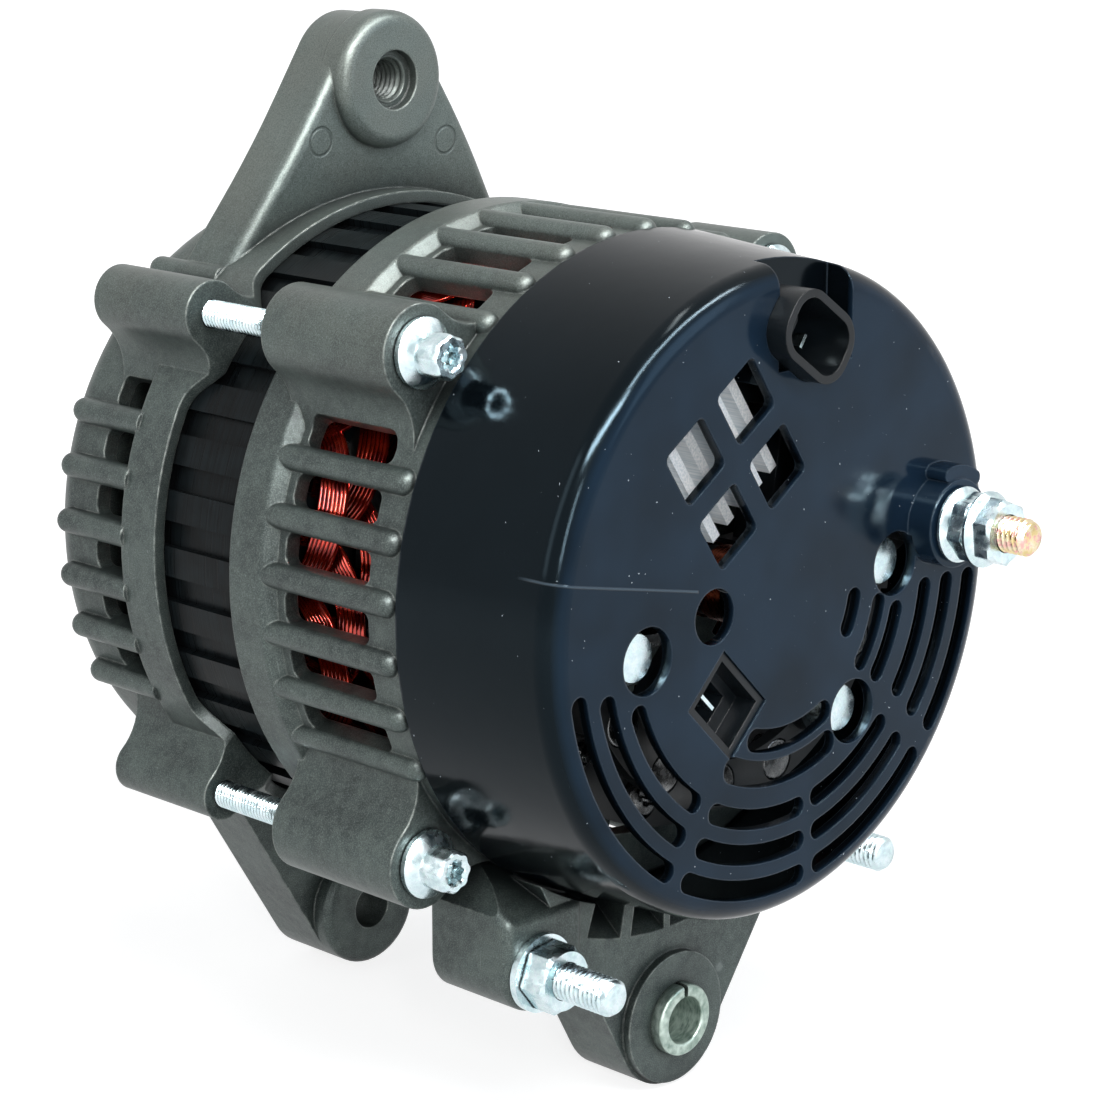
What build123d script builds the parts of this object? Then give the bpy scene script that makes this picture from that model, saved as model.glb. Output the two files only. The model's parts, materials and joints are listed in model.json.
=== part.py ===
from build123d import *
import math
import os

# A belt-driven alternator, in millimetres. +Z is up and +Y runs along the rotor towards the pulley.
# Every piece is drawn about the rotor axis, with the cover's outer face at Y zero, and is then moved
# so that the origin is the centre of the drive end lug's pivot hole, on that lug's front face.
# Clock angles are degrees as seen from the cover side: zero is up and they grow towards +X.

# Lengths along the rotor axis
cover_depth = 40.0
rear_cage_length = 49.0
exposed_core_length = 25.4
drive_cage_length = 40.1
core_lap = 6.0
rear_band_length = 10.0
drive_band_length = 11.5
rear_window_length = 25.4
drive_window_length = 12.0

# Radii of the castings, the core and the cover
core_radius = 69.5
core_groove_depth = 1.7
core_back = 7.0
core_depth = 17.9
air_gap = 0.5
rear_band_wall = 3.8
drive_band_wall = 2.8
rear_body_step = 1.1
drive_body_step = 0.1
rib_stand = 2.6
frame_wall = 3.6
rear_wall = 5.0
drive_wall = 4.5
cover_rim_step = 0.9
cover_draft = 3.2
cover_round = 5.0
cover_wall = 2.6

# Ribs, pads and windows share one pitch
rib_count = 36
rib_width = 5.6
rib_phase = 3.0
window_width = 6.8
window_corner = 1.9
pad_gap_span = 4.6

# Through bolts and their bosses
bolt_circle_step = 10.7
bolt_angle = 48.7
bolt_shank_radius = 3.0
bolt_flange_radius = 7.2
bolt_flange_height = 2.6
bolt_head_radius = 4.6
bolt_head_height = 9.0
rear_boss_radius = 9.8
rear_boss_start = 44.0
rear_boss_end = 80.5
short_boss_start = 57.0
drive_boss_start = 107.5
drive_boss_end = 138.5
boss_flare = 13.0
apron_foot_half = 15.0
apron_top_half = 7.0
apron_round = 7.0
drive_upper_boss_radius = 7.2
drive_lower_boss_radius = 5.8

# Threaded ear and pivot lugs
pivot_drop = 100.0
pivot_hole_radius = 5.2
ear_height = 97.0
ear_thread_radius = 5.0
ear_mouth_radius = 6.6
ear_mouth_depth = 2.4
ear_radius = 14.4
ear_start = 119.0
ear_end = 133.5
ear_root_half = 46.9
ear_root_height = 52.0
ear_lean = 5.5
ear_bend_round = 120.0
ear_edge_round = 2.6
ear_boss_radius = 15.2
ear_boss_height = 3.5
drive_lug_radius = 14.0
drive_lug_root_half = 44.5
drive_lug_root_height = 54.0
drive_lug_start = 132.0
drive_lug_end = 148.0
drive_lug_boss_height = 5.0
rear_lug_radius = 15.6
rear_lug_root_left = 40.0
rear_lug_root_right = 47.0
rear_lug_root_height = 60.0
rear_lug_start = 31.0
rear_lug_end = 47.5
rear_lug_boss_height = 2.0
pocket_radius = 79.6
pocket_depth = 13.0
pocket_span = 7.6
pocket_angles = (195.2, 185.2, 176.2)
bushing_radius = 8.0
bushing_bore_radius = 5.25
bushing_stand = 3.0
bushing_length = 20.0
bushing_split = 1.2

# Studs on the rear frame; a thread in mesh with a nut or a casting is drawn at its pitch radius
frame_stud_radius = 4.0
stud_pitch_radius = 3.6
frame_stud_depth = 14.0
ground_stud_x = -41.5
ground_stud_z = -78.0
ground_stud_stand = 22.0
ground_nut_flats = 13.0
ground_nut_height = 6.5
ground_washer_radius = 8.4
ground_washer_height = 1.6
foot_start = 30.0
foot_length = 22.6
foot_radius = 8.9
foot_width = 22.6
foot_round = 2.2
foot_shoulder_z = -66.0
foot_height = 20.0
side_stud_x = 51.6
side_stud_z = -71.8
side_stud_stand = 20.0
side_boss_start = 33.0
side_boss_length = 18.0
side_boss_radius = 7.6

# Cover openings
slot_width = 4.4
slot_inset = 6.8
slot_pitch = 7.5
window_side = 13.0
window_pitch = 17.8
window_round = 1.6
window_grid_turn = 34.0
window_grid_x = -15.6
window_grid_z = 30.2
socket_x = -17.5
socket_z = -19.4
socket_length = 18.6
socket_width = 15.0
socket_turn = -45.0
socket_depth = 16.0
socket_wall = 1.7
connector_x = 3.4
connector_z = 54.0
connector_length = 21.5
connector_width = 15.4
connector_round = 6.4
connector_turn = -35.0
connector_wall = 1.7
connector_stand = 5.0
connector_pin_offset = 3.6
notch_depth = 7.0
notch_left = -3.5
notch_right = 19.5
notch_bottom = 47.0
bare_hole_radius = 5.8
bare_hole_x = -21.8
bolt_window_radius = 7.0

# Output stud
stud_x = 49.2
stud_z = 8.0
stud_radius = 4.0
stud_tail = 25.5
stud_boss_radius = 9.6
stud_boss_height = 6.0
stud_bush_wall = 2.0
stud_nut_flats = 13.0
stud_nut_flange_radius = 8.2
stud_nut_height = 6.2

# Rectifier
sink_start = 12.0
sink_thickness = 3.0
sink_gap = 11.0
sink_side = 31.0
fin_count = 6
fin_height = 5.0
fin_width = 2.4
fin_pitch = 5.2
sink_arc_inner = 36.9
sink_arc_outer = 47.1
diode_circle_radius = 42.0
diode_radius = 4.6
diode_height = 7.0
rectifier_bolt_places = ((41.7, -97.3), (35.6, 89.0), (36.7, 142.5))
rectifier_bolt_flats = 10.0
rectifier_bolt_head = 5.0
rectifier_bolt_radius = 3.0
insulator_radius = 6.5
rectifier_post_radius = 6.5
sink_pad_radius = 7.3
negative_diode_circle = 48.0
positive_diode_angles = (-72.0, -122.0, -147.0, -172.0, 163.0, 116.0)
negative_diode_angles = (-40.0, -70.0, -130.0, -160.0, 170.0, 115.0)
insulator_neck = 4.5

# Regulator, brushes and slip rings
regulator_inner = 38.0
regulator_outer = 60.0
regulator_start = 15.5
regulator_end = 27.0
regulator_middle = 26.0
regulator_span = 72.0
regulator_post_radius = 4.5
regulator_screw_circle = 55.0
regulator_screw_radius = 2.0
regulator_post_angles = (20.0, 50.0)
slip_ring_radius = 8.0
slip_ring_inner = 6.6
slip_ring_width = 6.5
slip_ring_gap = 3.0
slip_ring_start = 11.0
brush_length = 9.0
brush_width = 6.0
brush_height = 5.0
brush_travel = 3.0
brush_spring_radius = 2.0
holder_start = 10.5
holder_end = 27.6
holder_width = 12.0
holder_cap = 2.0

# Rotor and bearings
shaft_radius = 8.5
shaft_rear_radius = 7.5
shaft_tail_radius = 5.0
shaft_tail_end = 30.5
shaft_core_radius = 9.0
shaft_thread_radius = 7.5
shaft_start = 9.0
shaft_end = 195.0
claw_length = 46.0
claw_disc = 12.0
claw_count = 6
coil_radius = 36.0
pole_core_radius = 19.0
fan_inset = 4.1
fan_height = 7.0
fan_sheet = 1.5
fan_blades = 9
front_bearing_radius = 23.5
front_bearing_width = 14.0
front_bearing_lip = 2.0
front_ball_radius = 3.9
front_ball_count = 7
race_shoulder_radius = 12.0
rear_bearing_radius = 17.5
rear_bearing_width = 11.0
rear_ball_radius = 2.9
rear_ball_count = 8
hub_wall = 5.0
retainer_sheet = 2.0
retainer_radius = 27.0
retainer_screw_circle = 28.5
retainer_screw_radius = 2.0
pulley_radius = 30.0
pulley_hub_radius = 15.0
pulley_width = 24.0
pulley_start = 159.0
pulley_web_start = 166.0
pulley_recess_radius = 21.0
pulley_grooves = 6
groove_pitch = 3.56
groove_depth = 2.9
pulley_nut_flats = 24.0
pulley_nut_height = 10.0

# End turns of the winding
winding_inset = 2.0
winding_back = 5.0
rear_turn_reach = 26.0
rear_turn_taper = 10.0
drive_turn_reach = 13.0
drive_turn_taper = 7.0

# Clearances
fit = 0.1
running_fit = 0.05
gap = 0.3

# Stations along the rotor axis that follow from the lengths
rear_band_start = cover_depth + rear_cage_length
drive_band_start = rear_band_start + exposed_core_length
drive_face = drive_band_start + drive_cage_length
core_start = rear_band_start - core_lap
core_end = drive_band_start + core_lap
core_middle = (core_start + core_end) / 2
claw_start = core_middle - claw_length / 2
claw_end = core_middle + claw_length / 2
rear_wall_start = cover_depth - 4.0
front_bearing_start = drive_face - front_bearing_lip - front_bearing_width
sink_end = sink_start + sink_thickness
lower_sink_start = sink_end + sink_gap
lower_sink_end = lower_sink_start + sink_thickness
pulley_end = pulley_start + pulley_width
nut_seat = pulley_end - 7.0

# Radii and angles that follow
rotor_bore_radius = core_radius - core_depth
rotor_radius = rotor_bore_radius - air_gap
fan_radius = rotor_radius - fan_inset
slot_floor_radius = core_radius - core_back
rear_band_radius = core_radius + rear_band_wall
drive_band_radius = core_radius + drive_band_wall
rear_body_radius = core_radius + rear_body_step
drive_body_radius = core_radius + drive_body_step
rib_crest_radius = rear_body_radius + rib_stand
bolt_circle_radius = core_radius + bolt_circle_step
cover_rim_radius = rear_body_radius + cover_rim_step
cover_face_radius = cover_rim_radius - cover_draft
outer_slot_radius = cover_face_radius - slot_inset
middle_slot_radius = outer_slot_radius - slot_pitch
inner_slot_radius = middle_slot_radius - slot_pitch
rear_inner = rear_body_radius - frame_wall
drive_inner = drive_body_radius - frame_wall
rib_pitch = 360 / rib_count
bolt_angles = (bolt_angle, 180 - bolt_angle, 180 + bolt_angle, 360 - bolt_angle)
slip_ring_starts = (slip_ring_start, slip_ring_start + slip_ring_width + slip_ring_gap)
front_ball_circle = (front_bearing_radius + shaft_radius) / 2
rear_ball_circle = (rear_bearing_radius + shaft_rear_radius) / 2
front_balls = (front_bearing_start, front_bearing_width, front_ball_circle, front_ball_radius,
               front_ball_count)
rear_balls = (rear_wall_start, rear_bearing_width, rear_ball_circle, rear_ball_radius, rear_ball_count)

# Clock angles kept free of ribs and windows, each with its reach to either side
boss_reach = [(angle, 11.5) for angle in bolt_angles]
drive_keep_out = boss_reach + [(0.0, 35.0), (180.0, 38.0)]
rear_keep_out = boss_reach + [(208.0, 13.0), (180.0, 8.0)]


def clock(radius, degrees):
    """The X and Z of a place given by its radius and clock angle."""
    angle = math.radians(degrees)
    return radius * math.sin(angle), radius * math.cos(angle)


def turned(*corners):
    """A solid of revolution from corners given as radius, Y and rounding."""
    points = [(radius, y) for radius, y, rounding in corners]
    roundings = [rounding for radius, y, rounding in corners]
    return revolve(make_face(FilletPolyline(*points, radius=roundings, close=True)), Axis.Y)


def prism(sketch, start, end):
    """A bar along the rotor axis from a sketch drawn as seen from the cover side."""
    return extrude(Plane.XZ.offset(-end) * sketch, amount=end - start)


def rod(radius, start, end, x=0.0, z=0.0):
    """A round bar along the rotor axis."""
    return prism(Pos(x, z) * Circle(radius), start, end)


def tube(inner, outer, start, end, x=0.0, z=0.0):
    """A round bar along the rotor axis with a hole through it."""
    return prism(Pos(x, z) * (Circle(outer) - Circle(inner)), start, end)


def sector(inner, outer, middle, span):
    """A sketch of part of a ring, with its middle and span as clock angles."""
    first, last = middle - span / 2, middle + span / 2
    outline = [ThreePointArc(clock(outer, first), clock(outer, middle), clock(outer, last)),
               Line(clock(outer, last), clock(inner, last)),
               ThreePointArc(clock(inner, last), clock(inner, middle), clock(inner, first)),
               Line(clock(inner, first), clock(outer, first))]
    return make_face(outline)


def arc_slot(radius, first, last, width=slot_width):
    """A sketch of a round-ended slot that follows an arc about the rotor axis."""
    middle = (first + last) / 2
    return SlotArc(ThreePointArc(clock(radius, first), clock(radius, middle), clock(radius, last)), width)


def around(shape, degrees):
    """A shape turned about the rotor axis by a clock angle."""
    return Rot(0, degrees, 0) * shape


def ring_of(shape, count, phase=0.0):
    """Copies of a shape spread evenly about the rotor axis."""
    return [around(shape, phase + 360 / count * step) for step in range(count)]


def cage_angles(phase, keep_out):
    """The clock angles of ribs or windows, without those beside a boss, an ear or a lug."""
    angles = [phase + rib_pitch * step for step in range(rib_count)]
    return [angle for angle in angles
            if all(abs((angle - middle + 180) % 360 - 180) > reach for middle, reach in keep_out)]


def ribs(angles, root_radius, start, end, nose):
    """Round-crested bars along a casting, with a round nose at one end."""
    half = rib_width / 2
    crest = rib_crest_radius - half
    section = Pos(0, (root_radius + crest) / 2) * Rectangle(rib_width, crest - root_radius)
    section += Pos(0, crest) * Circle(half)
    bar = prism(section, start, end)
    bar += Pos(0, nose, (root_radius + crest) / 2) * Cylinder(half, crest - root_radius)
    bar += Pos(0, nose, crest) * Sphere(half)
    return [around(bar, angle) for angle in angles]


def cage_windows(angles, inner, outer, start, end):
    """The cutters of the round-cornered windows between the ribs."""
    pane = Pos(0, (start + end) / 2) * RectangleRounded(window_width, end - start, window_corner)
    cutter = extrude(Plane.XY.offset(inner) * pane, amount=outer - inner)
    return [around(cutter, angle) for angle in angles]


def boss_outline(radius, root_radius):
    """The section of a through bolt's boss, with a hollow fillet to either side of its foot."""
    across = radius + boss_flare
    reach = root_radius + boss_flare
    spread = reach ** 2 + bolt_circle_radius ** 2 - across ** 2
    lean = math.acos(spread / (2 * reach * bolt_circle_radius))
    hollow_x, hollow_z = reach * math.sin(lean), reach * math.cos(lean)
    foot_x, foot_z = root_radius * math.sin(lean), root_radius * math.cos(lean)
    touch_x = radius / across * hollow_x
    touch_z = bolt_circle_radius + radius / across * (hollow_z - bolt_circle_radius)
    web = make_face(Polyline((-foot_x, foot_z), (foot_x, foot_z), (touch_x, touch_z), (-touch_x, touch_z),
                             close=True))
    web -= [Pos(side * hollow_x, hollow_z) * Circle(boss_flare) for side in (-1, 1)]
    return web + Pos(0, bolt_circle_radius) * Circle(radius)


def bolt_boss(angle, radius, start, end, root_radius):
    """The boss of a through bolt."""
    return around(prism(boss_outline(radius, root_radius), start, end), angle)


def between_aprons():
    """The cutter that leaves four aprons over the core, where the band's edge swings in an S-curve."""
    foot, top = apron_foot_half, apron_top_half
    low, high = drive_band_start, drive_boss_start - 1
    bends = [0, 0, apron_round, apron_round, apron_round, apron_round, 0, 0]
    edge = make_face(FilletPolyline((-foot - 9, low + 1), (-foot - 9, low), (-foot, low), (-top, high), (top, high),
                                    (foot, low), (foot + 9, low), (foot + 9, low + 1), close=True, radius=bends))
    reach = extrude(Plane.XY * edge, amount=bolt_circle_radius + 2 * drive_upper_boss_radius)
    free = tube(core_radius - 2, bolt_circle_radius + drive_upper_boss_radius + 1, drive_boss_start - 2,
                drive_band_start)
    return free - [around(reach, angle) for angle in bolt_angles]


def bolt_seat(angle):
    """The Y of a through bolt's seat; the boss beside the connector is shorter."""
    return short_boss_start if angle == bolt_angle else rear_boss_start


def bolt_holes(radius):
    """The cutters of the through bolts' holes."""
    return [rod(radius, rear_boss_start - 1, drive_boss_end - 1.5, *clock(bolt_circle_radius, angle))
            for angle in bolt_angles]


def arm_side(radius, reach, root_half, root_reach):
    """The point where an arm's side, from its root, touches the round end."""
    drop = reach - root_reach
    lean = math.atan2(root_half, drop) - math.asin(radius / math.hypot(root_half, drop))
    return radius * math.cos(lean), reach + radius * math.sin(lean)


def arm_outline(radius, reach, root_left, root_right, root_reach):
    """A sketch of a tapered arm that points up from the casting and ends round a hole."""
    left_x, left_z = arm_side(radius, reach, root_left, root_reach)
    right_side = arm_side(radius, reach, root_right, root_reach)
    arm = make_face(Polyline((-root_left, root_reach), (root_right, root_reach), right_side,
                             (-left_x, left_z), close=True))
    return arm + Pos(0, reach) * Circle(radius)


def ear_profile():
    """The ear's side view: upright at the hole, then leaning forward down to the casting."""
    bend = ear_height - ear_radius
    top = ear_height + ear_radius + 1
    side = make_face(FilletPolyline((ear_start, top), (ear_start, bend),
                                    (ear_start + ear_lean, ear_root_height),
                                    (ear_end + ear_lean, ear_root_height), (ear_end, bend), (ear_end, top),
                                    close=True, radius=[0, ear_bend_round, 0, 0, ear_bend_round, 0]))
    return extrude(Plane.YZ * side, amount=ear_root_half + 1, both=True)


def on_ear_front(edge):
    """Whether an edge of the ear borders its cover-side face along the outline."""
    middle = edge @ 0.5
    height = middle.Z
    bend = ear_height - ear_radius
    lean = ear_lean * max(0.0, (bend - height) / (bend - ear_root_height))
    across = abs((edge % 0.5).X) > 0.98 and abs(middle.X) < 1
    return middle.Y < ear_start + lean + 2.0 and not across and height > ear_root_height + 1


def hexagon(flats, start, end, x=0.0, z=0.0, turn=0.0):
    """A hexagonal bar along the rotor axis, by its width across flats."""
    return prism(Pos(x, z) * RegularPolygon(flats / 2, 6, major_radius=False, rotation=turn), start, end)


def drive_end_frame():
    """The cast frame at the pulley end, with the threaded ear, the pivot lug and the bearing hub."""
    seat = core_radius + fit
    band_end = drive_band_start + drive_band_length
    wall_start = drive_face - drive_wall
    hub_outer = front_bearing_radius + hub_wall
    frame = turned((seat, drive_boss_start, 0), (drive_band_radius, drive_boss_start, 0.8),
                   (drive_band_radius, band_end, 1.2), (drive_body_radius, band_end + 2.0, 0),
                   (drive_body_radius, drive_face, 8.0), (front_bearing_radius - 4, drive_face, 0),
                   (front_bearing_radius - 4, drive_face - front_bearing_lip, 0),
                   (front_bearing_radius, drive_face - front_bearing_lip, 0),
                   (front_bearing_radius, front_bearing_start, 0), (hub_outer, front_bearing_start, 0),
                   (hub_outer, wall_start, 2.0), (drive_inner, wall_start, 5.0),
                   (drive_inner, core_end, 0), (seat, core_end, 0))
    hollow = [rod(seat, drive_boss_start - 1, core_end), rod(drive_inner, core_end, wall_start - 4)]
    rib_end = drive_face - 5.5 - rib_width / 2
    solids = ribs(cage_angles(rib_phase, drive_keep_out), drive_inner + 1, band_end - 1, rib_end, rib_end)
    radii = (drive_upper_boss_radius, drive_lower_boss_radius, drive_lower_boss_radius,
             drive_upper_boss_radius)
    solids += [bolt_boss(angle, radius, drive_boss_start, drive_boss_end, drive_body_radius - 0.5)
               for angle, radius in zip(bolt_angles, radii)]
    ear_base = ear_start - ear_boss_height
    outline = arm_outline(ear_radius, ear_height, ear_root_half, ear_root_half, ear_root_height)
    ear = prism(outline, ear_start, ear_end + ear_lean) & ear_profile()
    front_edges = [edge for edge in ear.edges() if on_ear_front(edge)]
    ear = fillet(front_edges, ear_edge_round)
    ear += Pos(0, ear_base, ear_height) * turned((0, 0, 0), (ear_boss_radius, 0, 3.0),
                                                 (ear_boss_radius, ear_boss_height + 4, 0),
                                                 (0, ear_boss_height + 4, 0))
    lug_base = drive_lug_start - drive_lug_boss_height
    outline = arm_outline(drive_lug_radius, pivot_drop, drive_lug_root_half, drive_lug_root_half,
                          drive_lug_root_height)
    lug = prism(Rot(0, 0, 180) * outline, drive_lug_start, drive_lug_end)
    lug += Pos(0, lug_base, -pivot_drop) * turned((0, 0, 0), (drive_lug_radius, 0, 2.0),
                                                  (drive_lug_radius, drive_lug_boss_height + 4, 0),
                                                  (0, drive_lug_boss_height + 4, 0))
    frame += [solid - hollow for solid in solids + [ear, lug]]
    screw_boss = rod(4.5, front_bearing_start, wall_start + 1, 0, retainer_screw_circle)
    frame += ring_of(screw_boss, 4, 45)
    vent = prism(sector(hub_outer + 5, fan_radius - 2, 0, 20.0), wall_start - 3, drive_face + 1)
    cuts = cage_windows(cage_angles(rib_phase + rib_pitch / 2, drive_keep_out), drive_inner - 4,
                        drive_body_radius + 9, band_end + 1.0, band_end + drive_window_length)
    cuts += ring_of(vent, 12, 15)
    cuts.append(between_aprons())
    cuts += bolt_holes(bolt_shank_radius + fit)
    cuts.append(rod(ear_thread_radius, ear_base - 1, ear_end + 1, 0, ear_height))
    cuts.append(rod(ear_mouth_radius, ear_base - 1, ear_base + ear_mouth_depth, 0, ear_height))
    cuts.append(rod(pivot_hole_radius, lug_base - 1, drive_lug_end + 1, 0, -pivot_drop))
    cuts += ring_of(rod(retainer_screw_radius, front_bearing_start - 1, front_bearing_start + 8,
                        0, retainer_screw_circle), 4, 45)
    return frame - cuts


def lug_pockets():
    """The cutters of the sloped pockets between lug and cover rim, with thin webs left between them."""
    floor = turned((rear_body_radius, rear_lug_start - 1, 0), (pocket_radius, rear_lug_start - 1, 0),
                   (pocket_radius, rear_lug_start, 0), (rear_body_radius, rear_lug_start + pocket_depth, 0))
    return [floor & prism(sector(rear_body_radius - 2, pocket_radius + 2, angle, pocket_span),
                          rear_lug_start - 1,
                          rear_lug_end) for angle in pocket_angles]


def foot_block():
    """The foot of the ground stud: round below, sloped back above, its front edges rounded."""
    left, bottom = ground_stud_x - foot_radius, ground_stud_z - foot_radius
    front = Pos(ground_stud_x, ground_stud_z) * Circle(foot_radius)
    upper = Rectangle(foot_width, foot_height)
    front += Pos(left + foot_width / 2, ground_stud_z + foot_height / 2) * upper
    foot_end = foot_start + foot_length
    side = make_face(FilletPolyline((foot_start, bottom - 1), (foot_start, foot_shoulder_z),
                                    (foot_start + 9, foot_shoulder_z + 5.5),
                                    (foot_start + 15, ground_stud_z + foot_height),
                                    (foot_end, ground_stud_z + foot_height), (foot_end, bottom - 1),
                                    radius=[0, 2.5, 5.0, 0, 0, 0], close=True))
    block = prism(front, foot_start, foot_end) & extrude(Plane.YZ * side, amount=80, both=True)
    edges = [edge for edge in block.edges()
             if (edge @ 0.5).Y < foot_start + 0.01 and (edge @ 0.5).Z < foot_shoulder_z - 1]
    corner = make_face(Polyline((left - 1, foot_shoulder_z), (left - 1, ground_stud_z + foot_height + 1),
                                (left + 8, ground_stud_z + foot_height + 1), close=True))
    return fillet(edges, foot_round) - prism(corner, foot_start - 1, foot_end + 1)


def rear_frame():
    """The cast frame on the cover side, with the lower lug, the foot and the rear bearing hub."""
    seat = core_radius + fit
    spigot = cover_rim_radius - cover_wall - gap - 0.2
    band_start = rear_band_start - rear_band_length
    wall_end = rear_wall_start + rear_wall
    hub_outer = rear_bearing_radius + hub_wall
    hub_end = rear_wall_start + rear_bearing_width
    frame = turned((seat, rear_band_start, 0), (rear_band_radius, rear_band_start, 0.8),
                   (rear_band_radius, band_start, 1.2), (rear_body_radius, band_start - 2.5, 0),
                   (rear_body_radius, cover_depth, 0.6), (spigot, cover_depth, 0),
                   (spigot, rear_wall_start, 1.0),
                   (rear_bearing_radius, rear_wall_start, 0), (rear_bearing_radius, hub_end, 0),
                   (hub_outer, hub_end, 0), (hub_outer, wall_end, 2.0), (rear_inner, wall_end, 4.0),
                   (rear_inner, core_start, 0), (seat, core_start, 0))
    keep_out = [rod(rear_inner, wall_end, rear_band_start), rod(cover_rim_radius + 0.6, 0, cover_depth)]
    rib_start = cover_depth + 0.8 + rib_width / 2
    solids = ribs(cage_angles(rib_phase, rear_keep_out), rear_inner + 1, rib_start, band_start + 1,
                  rib_start)
    solids += [bolt_boss(angle, rear_boss_radius, bolt_seat(angle), rear_boss_end, rear_body_radius - 0.5)
               for angle in bolt_angles]
    outline = arm_outline(rear_lug_radius, pivot_drop, rear_lug_root_right, rear_lug_root_left,
                          rear_lug_root_height)
    lug = prism(Rot(0, 0, 180) * outline, rear_lug_start, rear_lug_end)
    lug -= lug_pockets()
    lug += rod(rear_lug_radius - 0.8, rear_lug_start - rear_lug_boss_height, rear_lug_start + 1, 0,
               -pivot_drop)
    solids += [lug, foot_block()]
    side_boss = Pos(side_stud_x, side_stud_z) * Circle(side_boss_radius)
    web = make_face(Polyline((6.9, 5.8), (-5.6, -6.2), (-17.6, 9.8), (-1.6, 21.8), close=True))
    side_boss += Pos(side_stud_x, side_stud_z) * web
    solids.append(prism(side_boss, side_boss_start, side_boss_start + side_boss_length))
    frame += [solid - keep_out for solid in solids]
    frame += [rod(rectifier_post_radius, lower_sink_end, rear_wall_start + 1, *clock(*place))
              for place in rectifier_bolt_places]
    frame += [rod(regulator_post_radius, regulator_end, rear_wall_start + 1,
                  *clock(regulator_screw_circle, angle))
              for angle in regulator_post_angles]
    vent = prism(sector(hub_outer + 3, 58.0, 0, 19.0), rear_wall_start - 1, wall_end + 1)
    cuts = cage_windows(cage_angles(rib_phase + rib_pitch / 2, rear_keep_out), rear_inner - 4,
                        rear_body_radius + 9, band_start - rear_window_length - 4.8, band_start - 4.8)
    cuts += ring_of(vent, 12, 5)
    cuts += bolt_holes(bolt_shank_radius + gap)
    cuts.append(rod(bushing_radius + running_fit, 0, rear_lug_end + 1, 0, -pivot_drop))
    cuts.append(rod(stud_pitch_radius, 0, foot_start + frame_stud_depth, ground_stud_x, ground_stud_z))
    cuts.append(rod(stud_pitch_radius, 0, side_boss_start + frame_stud_depth, side_stud_x, side_stud_z))
    cuts += [rod(rectifier_bolt_radius, 0, rear_wall_start + 3, *clock(*place))
             for place in rectifier_bolt_places]
    cuts += [rod(regulator_screw_radius, 0, regulator_end + 6, *clock(regulator_screw_circle, angle))
             for angle in regulator_post_angles]
    return frame - cuts


def stator_core():
    """The laminated pack: pads and grooves outside, winding slots inside."""
    groove = sector(core_radius - core_groove_depth, core_radius + 2, rib_pitch / 2, pad_gap_span)
    pocket = sector(rotor_bore_radius + winding_inset, slot_floor_radius, 0, 5.0)
    mouth = sector(rotor_bore_radius - 1, rotor_bore_radius + 3, 0, 1.8)
    pack = Circle(core_radius) - Circle(rotor_bore_radius)
    pack -= [Rot(0, 0, rib_pitch * step) * cutter for step in range(rib_count)
             for cutter in (groove, pocket, mouth)]
    return prism(pack, core_start, core_end)


def stator_winding():
    """The enamelled coils: a bundle of end turns at each end, joined by bars in the core's slots."""
    low, high = rotor_bore_radius + winding_inset + gap, core_radius - winding_back
    rear_far, drive_far = core_start - rear_turn_reach, core_end + drive_turn_reach
    rear_turns = turned((low, core_start - gap, 0), (high, core_start - gap, 3.0), (high, rear_far, 5.0),
                        (low + 2, rear_far, 4.0), (low, core_start - rear_turn_taper, 0))
    front_turns = turned((low, core_end + gap, 0), (high, core_end + gap, 2.0), (high, drive_far, 5.0),
                         (low + 2, drive_far, 4.0), (low, core_end + drive_turn_taper, 0))
    bar = prism(sector(low, slot_floor_radius - gap, 0, 4.3), core_start - 1, core_end + 1)
    return rear_turns + front_turns + ring_of(bar, rib_count)


def stud_bush_radius():
    """The outer radius of the bush that keeps the output stud off the cover."""
    return stud_radius + stud_bush_wall


def connector_place():
    """Where the oval connector stands, and how it is turned."""
    return Pos(connector_x, connector_z) * Rot(0, 0, connector_turn)


def connector_outline(grow=0.0):
    """The outline of the oval connector, grown by a clearance."""
    return connector_place() * RectangleRounded(connector_length + 2 * grow, connector_width + 2 * grow,
                                                connector_round + grow)


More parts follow.
